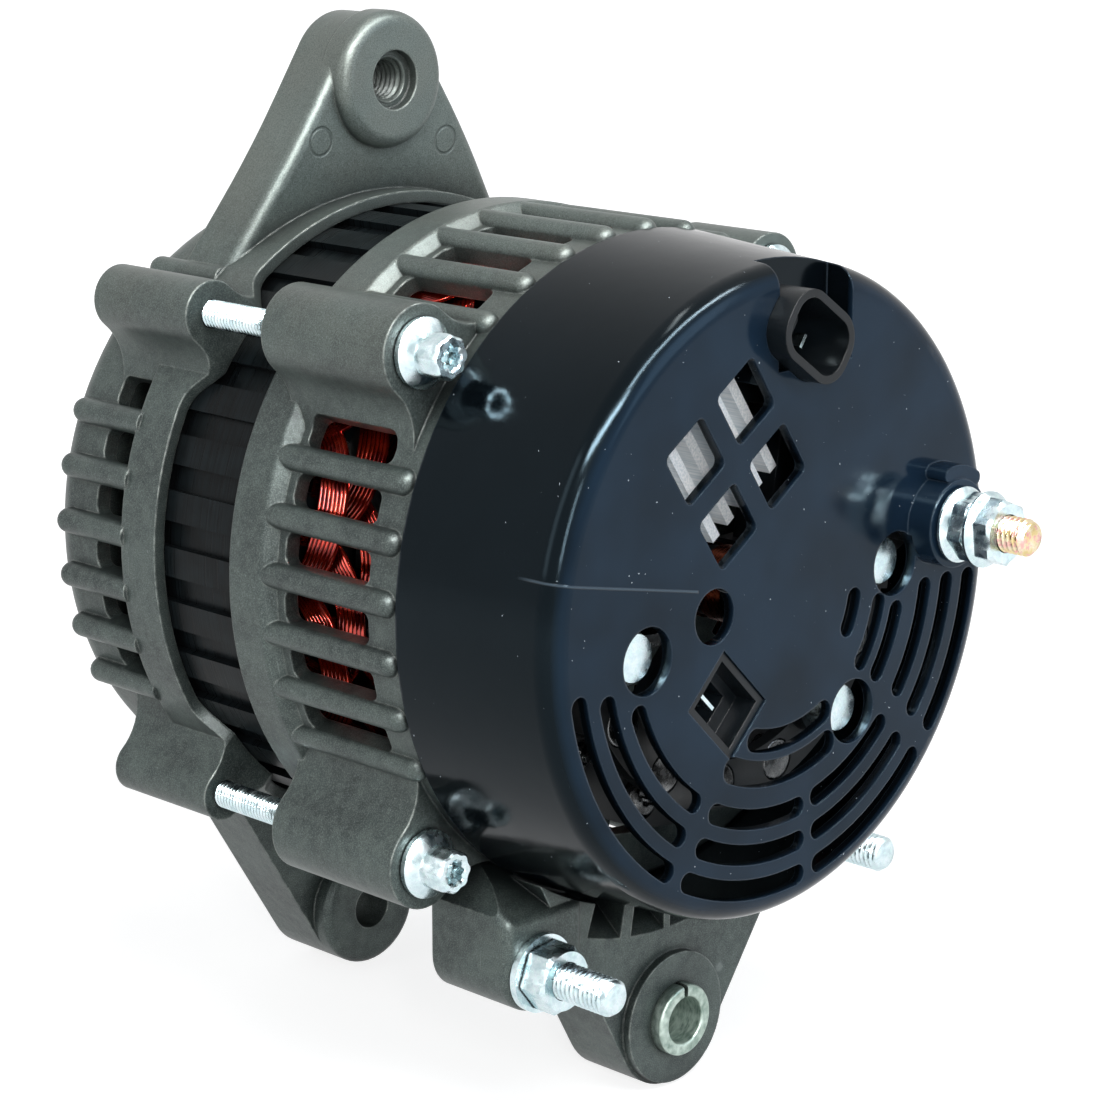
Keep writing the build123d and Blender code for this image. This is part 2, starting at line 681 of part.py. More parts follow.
def rear_cover():
    """The moulded cover, with its arc slots, four slanted windows, socket opening and connector notch."""
    rim, shoulder, wall = cover_rim_radius, cover_face_radius, cover_wall
    cover = turned((0, 0, 0), (shoulder, 0, cover_round), (rim, cover_depth, 0),
                   (rim - wall, cover_depth, 0),
                   (shoulder - wall, wall, cover_round - wall), (0, wall, 0))
    envelope = turned((0, 0, 0), (shoulder, 0, cover_round), (rim, cover_depth, 0), (0, cover_depth, 0))
    notch_width, notch_height = notch_right - notch_left, rim + 2 - notch_bottom
    notch_place = Pos((notch_left + notch_right) / 2, notch_bottom + notch_height / 2)
    lining = prism(notch_place * Rectangle(notch_width + 2 * wall, notch_height + 2 * wall), 1,
                   notch_depth + wall)
    cover += lining & envelope
    cover -= prism(notch_place * Rectangle(notch_width, notch_height), -1, notch_depth)
    cover += rod(stud_boss_radius, -stud_boss_height, wall, stud_x, stud_z)
    hook = Pos(stud_x, stud_z) * arc_slot(stud_boss_radius + 1.4, -12, 36, 3.2)
    cover += prism(hook, -stud_boss_height + 0.6, wall)
    outer, middle, inner = outer_slot_radius, middle_slot_radius, inner_slot_radius
    openings = [arc_slot(outer, -100, -145), arc_slot(middle, -103, -144), arc_slot(inner, -110, -144),
                arc_slot(outer, -152, -185), arc_slot(middle, -153, -185.5), arc_slot(inner, -153.5, -186),
                arc_slot(outer, 168.5, 135.5), arc_slot(middle, 167.5, 136.5), arc_slot(inner, 166, 137),
                arc_slot(outer, 96.5, 127), arc_slot(middle, 97, 127), arc_slot(inner, 98, 125.5),
                arc_slot(22.6, 101, 117), arc_slot(31.2, 103, 126.5), arc_slot(37.6, 105, 126),
                arc_slot(30.0, -163, -205, 5.0), arc_slot(37.0, -155, -202, 5.6)]
    grid = GridLocations(window_pitch, window_pitch, 2, 2)
    pane = RectangleRounded(window_side, window_side, window_round)
    openings += [sink_place() * place * pane for place in grid]
    openings.append(Pos(bare_hole_x, 0) * Circle(bare_hole_radius))
    openings += [Pos(*clock(*place)) * Circle(bolt_window_radius) for place in rectifier_bolt_places]
    openings.append(socket_place() * Rectangle(socket_length, socket_width))
    cuts = [prism(opening, -1, wall + 1) for opening in openings]
    cuts.append(prism(connector_outline(fit), -1, notch_depth + wall + 1))
    cuts.append(rod(stud_bush_radius() + fit, -stud_boss_height - 1, wall + 1, stud_x, stud_z))
    return cover - cuts


def connector_shroud():
    """The oval two-way connector on the regulator, open to the rear."""
    shell = prism(connector_outline(), -connector_stand, regulator_start)
    shell -= prism(connector_outline(-connector_wall), -connector_stand - 1, regulator_start - 3)
    shell += prism(connector_place() * Pos(-connector_pin_offset, 0) * SlotOverall(7.0, 4.2, rotation=90),
                   1.0, regulator_start - 2)
    return shell - connector_blades(0.1)


def connector_blades(grow):
    """The blades of the connector, grown by a clearance."""
    blade = Rectangle(0.8 + 2 * grow, 3.0 + 2 * grow)
    return [prism(connector_place() * Pos(side * connector_pin_offset, 0) * blade, 2.0 - 4 * grow,
                  regulator_start)
            for side in (-1, 1)]


def connector_pins():
    """The two flat terminals inside the connector."""
    return Compound(connector_blades(0.0))


def socket_place():
    """Where the four-cornered socket sits, and how it is turned."""
    return Pos(socket_x, socket_z) * Rot(0, 0, socket_turn)


def blade_sketch(grow=0.0):
    """The section of the socket's flat blade, grown by a clearance."""
    return socket_place() * Pos(-1.4, -0.8) * Rectangle(6.2 + 2 * grow, 0.8 + 2 * grow)


def terminal_socket():
    """The four-cornered socket body behind the cover, with a stepped well."""
    body = prism(socket_place() * Rectangle(socket_length - 2 * fit, socket_width - 2 * fit), 0.6,
                 socket_depth)
    body -= prism(socket_place() * Rectangle(socket_length - 2 * socket_wall,
                                             socket_width - 2 * socket_wall), 0, 6.0)
    body -= prism(socket_place() * Pos(-1.4, -0.8) * Rectangle(socket_length - 7.4, socket_width - 6.4),
                  0, socket_depth - 2)
    return body - prism(blade_sketch(fit), 0, socket_depth + 1)


def socket_blade():
    """The flat blade terminal, with its small lock hole."""
    blade = prism(blade_sketch(), 4.5, socket_depth)
    hole = Pos(socket_x, 7.5, socket_z) * Rot(0, -socket_turn, 0) * Pos(-1.4, 0, -0.8) * Cylinder(0.9, 4)
    return blade - hole


def sink_place():
    """Where the finned block and the four windows over it are centred, and how they are turned."""
    return Pos(window_grid_x, window_grid_z) * Rot(0, 0, window_grid_turn)


def upper_sink_outline():
    """The plate of the positive side: the finned block, an arc round the bottom and the stud's pad."""
    outline = sink_place() * RectangleRounded(sink_side, sink_side, 2.0)
    outline += sector(sink_arc_inner, sink_arc_outer, -152.5, 215.0)
    outline += [Pos(*clock(*place)) * Circle(sink_pad_radius) for place in rectifier_bolt_places]
    outline += Pos(stud_x, stud_z) * Circle(9.5)
    outline += sector(sink_arc_inner, stud_x, 90.0, 22.0)
    return outline


def positive_heat_sink():
    """The finned aluminium plate that carries the positive diodes."""
    sink = prism(upper_sink_outline(), sink_start, sink_end)
    middle = (fin_count - 1) / 2
    fin = Rectangle(fin_width, sink_side - 1)
    sink += [prism(sink_place() * Pos((step - middle) * fin_pitch, 0) * fin, sink_start - fin_height,
                   sink_start + 0.5)
             for step in range(fin_count)]
    cuts = [rod(insulator_neck + fit, 0, sink_end + 1, *clock(*place)) for place in rectifier_bolt_places]
    cuts.append(rod(stud_radius + running_fit, 0, sink_end + 1, stud_x, stud_z))
    cuts += [rod(diode_radius, 0, sink_end + 1, *clock(diode_circle_radius, angle))
             for angle in positive_diode_angles]
    return sink - cuts


def negative_heat_sink():
    """The aluminium plate against the rear frame that carries the negative diodes."""
    outline = sector(34.0, 54.0, -147.5, 255.0)
    outline += [Pos(*clock(*place)) * Circle(sink_pad_radius) for place in rectifier_bolt_places]
    sink = prism(outline, lower_sink_start, lower_sink_end)
    cuts = [rod(rectifier_bolt_radius + fit, 0, lower_sink_end + 1, *clock(*place))
            for place in rectifier_bolt_places]
    cuts += [rod(diode_radius, 0, lower_sink_end + 1, *clock(negative_diode_circle, angle))
             for angle in negative_diode_angles]
    return sink - cuts


def diode(start, direction):
    """One pressed-in diode: a round body with a raised collar and a lead."""
    body = turned((0, 0, 0), (diode_radius - running_fit, 0, 0.6),
                  (diode_radius - running_fit, diode_height - 2, 0),
                  (diode_radius - 1.6, diode_height - 1, 0), (1.4, diode_height - 1, 0),
                  (0.7, diode_height, 0),
                  (0.7, diode_height + 3, 0), (0, diode_height + 3, 0))
    turn = 0 if direction > 0 else 180
    return Pos(0, start, 0) * Rot(turn, 0, 0) * body


def positive_diodes():
    """The diodes of the positive plate."""
    return Compound([Pos(x, 0, z) * diode(sink_start, 1)
                     for x, z in (clock(diode_circle_radius, angle) for angle in positive_diode_angles)])


def negative_diodes():
    """The diodes of the negative plate."""
    return Compound([Pos(x, 0, z) * diode(lower_sink_end, -1)
                     for x, z in (clock(negative_diode_circle, angle) for angle in negative_diode_angles)])


def rectifier_insulators():
    """The bushes that hold the two plates apart and keep the bolts off the positive one."""
    head_seat = sink_start - 3.5
    bush = turned((rectifier_bolt_radius + fit, head_seat, 0), (insulator_radius, head_seat, 0),
                  (insulator_radius, sink_start, 0), (insulator_neck, sink_start, 0),
                  (insulator_neck, sink_end, 0),
                  (insulator_radius, sink_end, 0), (insulator_radius, lower_sink_start, 0),
                  (rectifier_bolt_radius + fit, lower_sink_start, 0))
    return Compound([Pos(x, 0, z) * bush for x, z in (clock(*place) for place in rectifier_bolt_places)])


def rectifier_bolts():
    """The hexagon bolts seen in the cover's round holes."""
    head_seat = sink_start - 3.5
    bolts = []
    for place in rectifier_bolt_places:
        x, z = clock(*place)
        head = hexagon(rectifier_bolt_flats, head_seat - rectifier_bolt_head, head_seat, x, z, 15)
        bolts.append(head + rod(rectifier_bolt_radius - running_fit, head_seat - 1, rear_wall_start + 2, x,
                                z))
    return Compound(bolts)


def regulator():
    """The voltage regulator: a flat moulded body under the cover."""
    outline = sector(regulator_inner, regulator_outer, regulator_middle, regulator_span)
    body = prism(outline, regulator_start, regulator_end)
    return body - [rod(regulator_screw_radius + fit, 0, regulator_end + 1,
                       *clock(regulator_screw_circle, angle))
                   for angle in regulator_post_angles]


def regulator_screws():
    """The two screws that fix the regulator to the posts of the rear frame."""
    screws = []
    for angle in regulator_post_angles:
        x, z = clock(regulator_screw_circle, angle)
        screws.append(rod(3.8, regulator_start - 2.4, regulator_start, x, z)
                      + rod(regulator_screw_radius, regulator_start - 1, regulator_end + 5.0, x, z))
    return Compound(screws)


def holder_box(start, end, width, low, high):
    """A block of the brush holder that points outwards from the shaft."""
    return Pos((low + high) / 2, (start + end) / 2, 0) * Box(high - low, end - start, width)


def brush_middles():
    """The Y of the middle of each slip ring and its brush."""
    return [start + slip_ring_width / 2 for start in slip_ring_starts]


def brush_holder():
    """The moulded guide of the two brushes, with an arm to the regulator."""
    low, high = brush_middles()[0] - 4.75, brush_middles()[1] + 4.75
    holder = holder_box(low, high, holder_width, holder_start, holder_end)
    arm = make_face(Polyline((13.0, 5.0), (27.0, 5.0), (31.0, 25.0), (18.0, 35.0), close=True))
    holder += prism(arm & Circle(regulator_inner), regulator_start + 1, regulator_end - 1)
    for middle in brush_middles():
        holder -= holder_box(middle - brush_height / 2 - fit, middle + brush_height / 2 + fit,
                             brush_width + 2 * fit,
                             holder_start - 1, holder_end - holder_cap)
    return holder


def brush(middle):
    """One carbon brush, hollowed to the slip ring."""
    start = slip_ring_radius + running_fit
    block = holder_box(middle - brush_height / 2, middle + brush_height / 2, brush_width, start - 1.5,
                       start + brush_length)
    return block - rod(start, middle - brush_height, middle + brush_height)


def brush_spring(middle):
    """The envelope of one brush spring, as a plain tube."""
    start, end = slip_ring_radius + running_fit + brush_length, holder_end - holder_cap
    spring = Cylinder(brush_spring_radius, end - start - fit) - Cylinder(brush_spring_radius - 0.6,
                                                                         end - start)
    return Pos((start + end) / 2, middle, 0) * Rot(0, 90, 0) * spring


def inner_nut_seat():
    """The Y of the insulator's outer end, where the inner nut seats."""
    return -stud_boss_height - 0.4


def outer_nut_seat():
    """The Y of the outer nut's seat."""
    return inner_nut_seat() - stud_nut_height - gap


def positive_stud():
    """The output stud, with its head under the positive plate."""
    nuts_end = outer_nut_seat() - stud_nut_height
    return (rod(stud_radius, -stud_tail, nuts_end, stud_x, stud_z)
            + rod(stud_pitch_radius, nuts_end - 1, inner_nut_seat(), stud_x, stud_z)
            + rod(stud_radius, inner_nut_seat(), sink_end + 0.5, stud_x, stud_z)
            + hexagon(stud_nut_flats, sink_end, sink_end + 4.5, stud_x, stud_z, 10))


def positive_insulator():
    """The bush round the output stud."""
    return tube(stud_radius + running_fit, stud_bush_radius(), inner_nut_seat(), sink_start, stud_x, stud_z)


def flanged_nut(seat, turn):
    """A flanged nut of the output stud, seated towards the rotor."""
    x, z = stud_x, stud_z
    flange = Pos(x, seat, z) * turned((0, 0, 0), (stud_nut_flange_radius, 0, 0),
                                      (stud_nut_flange_radius, -1.0, 0.4),
                                      (stud_nut_flats / 2, -2.4, 0), (0, -2.4, 0))
    nut = flange + hexagon(stud_nut_flats - 1, seat - stud_nut_height, seat - 1, x, z, turn)
    return nut - rod(stud_pitch_radius + running_fit, seat - 10, seat + 1, x, z)


def positive_inner_nut():
    """The nut that clamps the output stud."""
    return flanged_nut(inner_nut_seat(), 12)


def positive_outer_nut():
    """The nut for the cable eye."""
    return flanged_nut(outer_nut_seat(), 38)


def ground_stud():
    """The threaded stud on the foot."""
    nut_end = foot_start - ground_washer_height - ground_nut_height
    return (rod(frame_stud_radius, foot_start - ground_stud_stand, nut_end, ground_stud_x, ground_stud_z)
            + rod(stud_pitch_radius, nut_end - 1, foot_start + frame_stud_depth, ground_stud_x,
                  ground_stud_z))


def ground_washer():
    """The washer on the foot."""
    return tube(frame_stud_radius + fit, ground_washer_radius, foot_start - ground_washer_height,
                foot_start,
                ground_stud_x, ground_stud_z)


def ground_nut():
    """The hexagon nut on the foot's stud."""
    seat = foot_start - ground_washer_height
    nut = hexagon(ground_nut_flats, seat - ground_nut_height, seat, ground_stud_x, ground_stud_z, 8)
    return nut - rod(stud_pitch_radius + running_fit, 0, foot_start, ground_stud_x, ground_stud_z)


def side_stud():
    """The bare threaded stud beside the lower lug."""
    return (rod(frame_stud_radius, side_boss_start - side_stud_stand, side_boss_start, side_stud_x,
                side_stud_z)
            + rod(stud_pitch_radius, side_boss_start - 1, side_boss_start + frame_stud_depth,
                  side_stud_x, side_stud_z))


def pivot_bushing():
    """The split steel bushing that slides in the lower lug."""
    start = rear_lug_start - rear_lug_boss_height - bushing_stand
    bushing = turned((bushing_bore_radius, start, 0.6), (bushing_radius, start, 0.8),
                     (bushing_radius, start + bushing_length, 0.6),
                     (bushing_bore_radius, start + bushing_length, 0))
    bushing = Pos(0, 0, -pivot_drop) * bushing
    return bushing - prism(Pos(0, bushing_radius - pivot_drop) * Rectangle(bushing_split, bushing_radius),
                           0, 80)


def through_bolts():
    """The four long bolts that hold the frames together on the core."""
    bolts = []
    for angle in bolt_angles:
        seat = bolt_seat(angle)
        head = turned((0, seat, 0), (bolt_flange_radius, seat, 0), (bolt_flange_radius, seat - 1.0, 0),
                      (bolt_head_radius + 0.4, seat - bolt_flange_height, 0),
                      (bolt_head_radius, seat - bolt_head_height, 0.8), (2.0, seat - bolt_head_height, 0),
                      (1.4, seat - bolt_head_height + 1.2, 0), (0, seat - bolt_head_height + 1.2, 0))
        x, z = clock(bolt_circle_radius, angle)
        bolts.append(Pos(x, 0, z) * (head + rod(bolt_shank_radius, seat - 1, drive_boss_end - 3)))
    return Compound(bolts)


def claw_pole():
    """A claw pole: half the core, a disc and tapering fingers that point along +Y."""
    disc = rod(coil_radius, claw_start, claw_start + claw_disc)
    core = rod(pole_core_radius, claw_start, core_middle)
    root = sector(30.0, rotor_radius, 0, 33.0)
    block = prism(root, claw_start, claw_start + claw_disc)
    block -= turned((rotor_radius - 6, claw_start - 1, 0), (rotor_radius + 2, claw_start - 1, 0),
                    (rotor_radius + 2, claw_start + 8, 0))
    tip_station = claw_end - 2.0
    wide = Plane.XZ.offset(-claw_start - claw_disc) * sector(coil_radius + 1.2, rotor_radius, 0, 33.0)
    slim = Plane.XZ.offset(-tip_station) * sector(rotor_radius - 5, rotor_radius, 0, 14.0)
    finger = block + loft([wide, slim], ruled=True)
    pole = disc + core + ring_of(finger, claw_count)
    return pole - rod(shaft_core_radius, 0, drive_face)


def claw_pole_rear():
    """The claw pole towards the slip rings."""
    return claw_pole()


def claw_pole_front():
    """The claw pole towards the pulley, its fingers between those of the other."""
    turned_over = Pos(0, core_middle, 0) * Rot(180, 0, 0) * Pos(0, -core_middle, 0) * claw_pole()
    return around(turned_over, 180 / claw_count)


def field_bobbin():
    """The moulded spool of the field coil."""
    start, end = claw_start + claw_disc + fit, claw_end - claw_disc - fit
    return turned((pole_core_radius + fit, start, 0), (coil_radius, start, 0),
                  (coil_radius, start + 1.4, 0),
                  (pole_core_radius + 1.6, start + 1.4, 0), (pole_core_radius + 1.6, end - 1.4, 0),
                  (coil_radius, end - 1.4, 0), (coil_radius, end, 0), (pole_core_radius + fit, end, 0))


def field_coil():
    """The enamelled field coil on its spool."""
    start, end = claw_start + claw_disc + fit + 1.5, claw_end - claw_disc - fit - 1.5
    return turned((pole_core_radius + 1.7, start, 0), (coil_radius - 1, start, 1.5),
                  (coil_radius - 1, end, 1.5),
                  (pole_core_radius + 1.7, end, 0))


def rotor_shaft():
    """The stepped shaft from the slip rings to the pulley nut."""
    return turned((0, shaft_start, 0), (shaft_tail_radius, shaft_start, 0.8),
                  (shaft_tail_radius, shaft_tail_end, 0),
                  (shaft_rear_radius, shaft_tail_end, 0.5),
                  (shaft_rear_radius, rear_wall_start + rear_bearing_width, 0),
                  (shaft_core_radius + 1.5, rear_wall_start + rear_bearing_width, 0),
                  (shaft_core_radius + 1.5, claw_start - fan_sheet, 0),
                  (shaft_core_radius, claw_start - fan_sheet, 0),
                  (shaft_core_radius, claw_end + fan_sheet, 0), (shaft_radius, claw_end + fan_sheet, 0),
                  (shaft_radius, nut_seat, 0), (shaft_thread_radius, nut_seat, 0),
                  (shaft_thread_radius, shaft_end, 1.2), (0, shaft_end, 0))


def slip_ring_hub():
    """The insulating sleeve under the slip rings."""
    start, end = slip_ring_start - 0.6, slip_ring_starts[1] + slip_ring_width + 0.6
    between = slip_ring_start + slip_ring_width
    return turned((shaft_tail_radius + running_fit, start, 0), (slip_ring_radius - 0.6, start, 0),
                  (slip_ring_radius - 0.6, slip_ring_start, 0), (slip_ring_inner, slip_ring_start, 0),
                  (slip_ring_inner, between, 0), (slip_ring_radius - 0.6, between, 0),
                  (slip_ring_radius - 0.6, between + slip_ring_gap, 0),
                  (slip_ring_inner, between + slip_ring_gap, 0),
                  (slip_ring_inner, end - 0.6, 0), (slip_ring_radius - 0.6, end - 0.6, 0),
                  (slip_ring_radius - 0.6, end, 0), (shaft_tail_radius + running_fit, end, 0))


def slip_rings():
    """The two copper rings that feed the field coil."""
    return Compound([tube(slip_ring_inner + running_fit, slip_ring_radius, start + running_fit,
                          start + slip_ring_width - running_fit) for start in slip_ring_starts])


def fan(station, direction, blade_turn):
    """A pressed fan: a thin disc with curved blades that stand up from it."""
    blade = SlotArc(ThreePointArc(clock(34.5, 0), clock(41.5, 0.55 * blade_turn),
                                  clock(fan_radius - 1, blade_turn)),
                    fan_sheet)
    disc = Circle(fan_radius) - Circle(shaft_core_radius + 0.1)
    disc -= [Rot(0, 0, 360 / fan_blades * step) * sector(38.0, fan_radius + 2, 24.0, 14.0)
             for step in range(fan_blades)]
    far = station + direction * (fan_sheet + fan_height)
    near = station + direction * fan_sheet
    blades = [Rot(0, 0, 360 / fan_blades * step) * blade for step in range(fan_blades)]
    low, high = sorted((near - direction * 0.5, far))
    return prism(disc, *sorted((station, near))) + [prism(one, low, high) for one in blades]


def front_fan():
    """The fan between the claw poles and the front bearing."""
    return fan(claw_end, 1, 20.0)


def rear_fan():
    """The fan between the claw poles and the rear wall."""
    return fan(claw_start, -1, 20.0)


def bearing_ring(inner, outer, start, width, ball_circle, ball_radius, groove_at):
    """One ring of a ball bearing, with its groove."""
    ring = turned((inner, start, 0.6 if groove_at > 0 else 0), (outer, start, 0), (outer, start + width, 0),
                  (inner, start + width, 0))
    groove = Pos(ball_circle, start + width / 2) * Circle(ball_radius + running_fit)
    return ring - revolve(groove, Axis.Y)


def ball_cage(start, width, ball_circle, ball_radius, count):
    """The balls of a bearing and the pierced ring that spaces them."""
    middle = start + width / 2
    places = [clock(ball_circle, 360 / count * step) for step in range(count)]
    ring = tube(ball_circle - 0.8, ball_circle + 0.8, middle - ball_radius - 1.2,
                middle + ball_radius + 1.2)
    pocket = Pos(0, middle, ball_circle) * Cylinder(ball_radius + running_fit, 4)
    ring -= ring_of(pocket, count)
    return ring, [Pos(x, middle, z) * Sphere(ball_radius) for x, z in places]


def front_bearing_outer():
    """The outer ring of the bearing at the pulley end."""
    return bearing_ring(front_ball_circle + 3.2, front_bearing_radius - 0.02, front_bearing_start,
                        front_bearing_width,
                        front_ball_circle, front_ball_radius, 0)


def front_bearing_inner():
    """The inner ring of the bearing at the pulley end."""
    return bearing_ring(shaft_radius + 0.02, front_ball_circle - 3.1, front_bearing_start,
                        front_bearing_width,
                        front_ball_circle, front_ball_radius, 0)


def rear_bearing_outer():
    """The outer ring of the bearing at the slip rings."""
    return bearing_ring(rear_ball_circle + 2.3, rear_bearing_radius - 0.02, rear_wall_start,
                        rear_bearing_width,
                        rear_ball_circle, rear_ball_radius, 0)


def rear_bearing_inner():
    """The inner ring of the bearing at the slip rings."""
    return bearing_ring(shaft_rear_radius + 0.02, rear_ball_circle - 2.3, rear_wall_start,
                        rear_bearing_width,
                        rear_ball_circle, rear_ball_radius, 0)


def bearing_retainer():
    """The plate that holds the front bearing in its hub."""
    outline = Circle(retainer_radius) + [Pos(*clock(retainer_screw_circle, 45 + 90 * step)) * Circle(4.4)
                                         for step in range(4)]
    plate = prism(outline, front_bearing_start - retainer_sheet, front_bearing_start)
    return plate - [rod(front_ball_circle + 2.8, 100, 180)] - ring_of(rod(retainer_screw_radius + fit, 100,
                                                                          180, 0,
                                                       retainer_screw_circle), 4, 45)


def retainer_screws():
    """The four screws of the bearing retainer."""
    seat = front_bearing_start - retainer_sheet
    screw = rod(3.5, seat - 2.2, seat, 0, retainer_screw_circle)
    screw += rod(retainer_screw_radius - running_fit, seat - 1, front_bearing_start + 6, 0,
                 retainer_screw_circle)
    return Compound(ring_of(screw, 4, 45))


def bearing_spacer():
    """The collar between the front fan and the front bearing."""
    return tube(shaft_radius + running_fit, race_shoulder_radius, claw_end + fan_sheet, front_bearing_start)


def pulley():
    """The belt pulley: six grooves in the rim, a web, and a hub that clamps the bearing."""
    bottom = pulley_radius - groove_depth
    first = pulley_start + (pulley_width - groove_pitch * pulley_grooves) / 2
    rim = [(pulley_radius, pulley_start, 0)]
    for step in range(pulley_grooves):
        start = first + groove_pitch * step
        rim += [(pulley_radius, start + 0.35, 0), (bottom, start + groove_pitch / 2 - 0.45, 0),
                (bottom, start + groove_pitch / 2 + 0.45, 0),
                (pulley_radius, start + groove_pitch - 0.35, 0)]
    rim += [(pulley_radius, pulley_end, 0), (pulley_radius - 5.0, pulley_end, 0),
            (pulley_recess_radius, nut_seat, 3.0), (shaft_radius + running_fit, nut_seat, 0),
            (shaft_radius + running_fit, drive_face - front_bearing_lip, 0),
            (race_shoulder_radius, drive_face - front_bearing_lip, 0),
            (race_shoulder_radius, drive_face + 1.5, 0),
            (pulley_hub_radius, drive_face + 1.5, 0), (pulley_hub_radius, pulley_web_start, 2.0),
            (pulley_radius - 6.0, pulley_web_start, 3.0), (pulley_radius - 5.0, pulley_start, 0)]
    return turned(*rim)


def pulley_washer():
    """The washer under the pulley nut."""
    return tube(shaft_thread_radius + fit, 13.0, nut_seat, nut_seat + 2.0)


def pulley_nut():
    """The nut that holds the pulley on the shaft."""
    seat = nut_seat + 2.0
    nut = hexagon(pulley_nut_flats, seat, seat + pulley_nut_height, 0, 0, 7)
    nut &= turned((0, seat, 0), (13.2, seat, 0), (13.2, seat + pulley_nut_height - 1, 0),
                  (11.8, seat + pulley_nut_height, 0), (0, seat + pulley_nut_height, 0))
    return nut - rod(shaft_thread_radius + running_fit, seat - 1, seat + 20)


def brush_1():
    """The brush on the ring nearer the cover."""
    return brush(brush_middles()[0])


def brush_2():
    """The brush on the ring nearer the rotor."""
    return brush(brush_middles()[1])


def brush_spring_1():
    """The spring behind the first brush."""
    return brush_spring(brush_middles()[0])


def brush_spring_2():
    """The spring behind the second brush."""
    return brush_spring(brush_middles()[1])


def front_ball_cage():
    """The pierced ring of the front bearing."""
    return ball_cage(*front_balls)[0]


def front_ball_set():
    """The balls of the front bearing."""
    return Compound(ball_cage(*front_balls)[1])


def rear_ball_cage():
    """The pierced ring of the rear bearing."""
    return ball_cage(*rear_balls)[0]


def rear_ball_set():
    """The balls of the rear bearing."""
    return Compound(ball_cage(*rear_balls)[1])


sub_parts = [drive_end_frame, rear_frame, stator_core, stator_winding, rear_cover, through_bolts,
             rectifier_bolts, rectifier_insulators, positive_heat_sink, negative_heat_sink,
             positive_diodes, negative_diodes, regulator, regulator_screws, brush_holder,
             brush_1, brush_2, brush_spring_1, brush_spring_2, connector_shroud, connector_pins,
             terminal_socket, socket_blade, positive_stud, positive_insulator, positive_inner_nut,
             positive_outer_nut, ground_stud, ground_washer, ground_nut, side_stud, pivot_bushing,
             rotor_shaft, claw_pole_rear, claw_pole_front, field_bobbin, field_coil, slip_ring_hub,
             slip_rings, front_fan, rear_fan, front_bearing_outer, front_bearing_inner,
             front_ball_cage, front_ball_set, rear_bearing_outer, rear_bearing_inner,
             rear_ball_cage, rear_ball_set, bearing_retainer, retainer_screws, bearing_spacer,
             pulley, pulley_washer, pulley_nut]

os.makedirs("parts", exist_ok=True)
to_origin = Pos(0, -drive_lug_end, pivot_drop)
for make in sub_parts:
    export_step(to_origin * make(), f"parts/{make.__name__}.step")
    print(make.__name__)
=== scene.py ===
# %% [markdown]
# # A compact alternator, dressed for its photograph
# The CAD model carries every real piece. This script gives the pieces their real finishes and adds what is too
# fine for CAD: wires, screw threads, bolt heads, chamfers and mould lines. Lengths are metres, +Y runs along the
# rotor towards the pulley and +Z is up, as in the CAD model.

# %% Frame and constants
import math

import bmesh
import bpy
from mathutils import Matrix, Vector
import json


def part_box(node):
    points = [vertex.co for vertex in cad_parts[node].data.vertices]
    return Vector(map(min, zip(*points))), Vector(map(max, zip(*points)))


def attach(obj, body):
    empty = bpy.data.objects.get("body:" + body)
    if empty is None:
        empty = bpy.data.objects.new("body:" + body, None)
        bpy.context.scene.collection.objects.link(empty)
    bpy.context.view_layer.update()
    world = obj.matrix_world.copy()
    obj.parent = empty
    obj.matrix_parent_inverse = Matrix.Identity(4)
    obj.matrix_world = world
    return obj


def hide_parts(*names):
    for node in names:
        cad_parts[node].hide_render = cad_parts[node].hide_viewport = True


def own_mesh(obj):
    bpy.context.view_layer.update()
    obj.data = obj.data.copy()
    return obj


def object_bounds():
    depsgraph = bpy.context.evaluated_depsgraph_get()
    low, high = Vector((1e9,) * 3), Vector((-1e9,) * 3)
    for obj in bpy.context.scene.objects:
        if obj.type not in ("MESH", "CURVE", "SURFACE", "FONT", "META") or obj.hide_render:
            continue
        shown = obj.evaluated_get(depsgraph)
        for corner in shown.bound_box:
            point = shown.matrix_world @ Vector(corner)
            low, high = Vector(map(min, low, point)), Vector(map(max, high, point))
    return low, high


MM = 0.001
FULL_TURN = 2 * math.pi

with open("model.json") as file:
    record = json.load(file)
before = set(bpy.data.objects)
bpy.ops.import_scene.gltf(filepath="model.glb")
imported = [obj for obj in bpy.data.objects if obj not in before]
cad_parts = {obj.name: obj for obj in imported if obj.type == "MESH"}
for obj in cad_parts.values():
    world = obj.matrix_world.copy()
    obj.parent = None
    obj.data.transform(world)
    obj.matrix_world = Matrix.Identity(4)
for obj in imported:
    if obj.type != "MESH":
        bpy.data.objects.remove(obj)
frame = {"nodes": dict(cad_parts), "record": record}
start_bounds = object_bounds()
print("nodes", len(frame["nodes"]), "bounds", start_bounds)

# %% [markdown]
# ## Places taken from the CAD model
# Nothing is placed by eye. Each stud, bolt or spring is centred on the box of the node that it dresses, and the
# rotor axis is the middle of the slip rings.

# %% Measuring helpers
def middle_of(node):
    """The centre of a CAD node's box."""
    low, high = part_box(node)
    return (Vector(low) + Vector(high)) / 2


def y_range(node):
    """The lowest and highest Y of a CAD node."""
    low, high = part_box(node)
    return low[1], high[1]


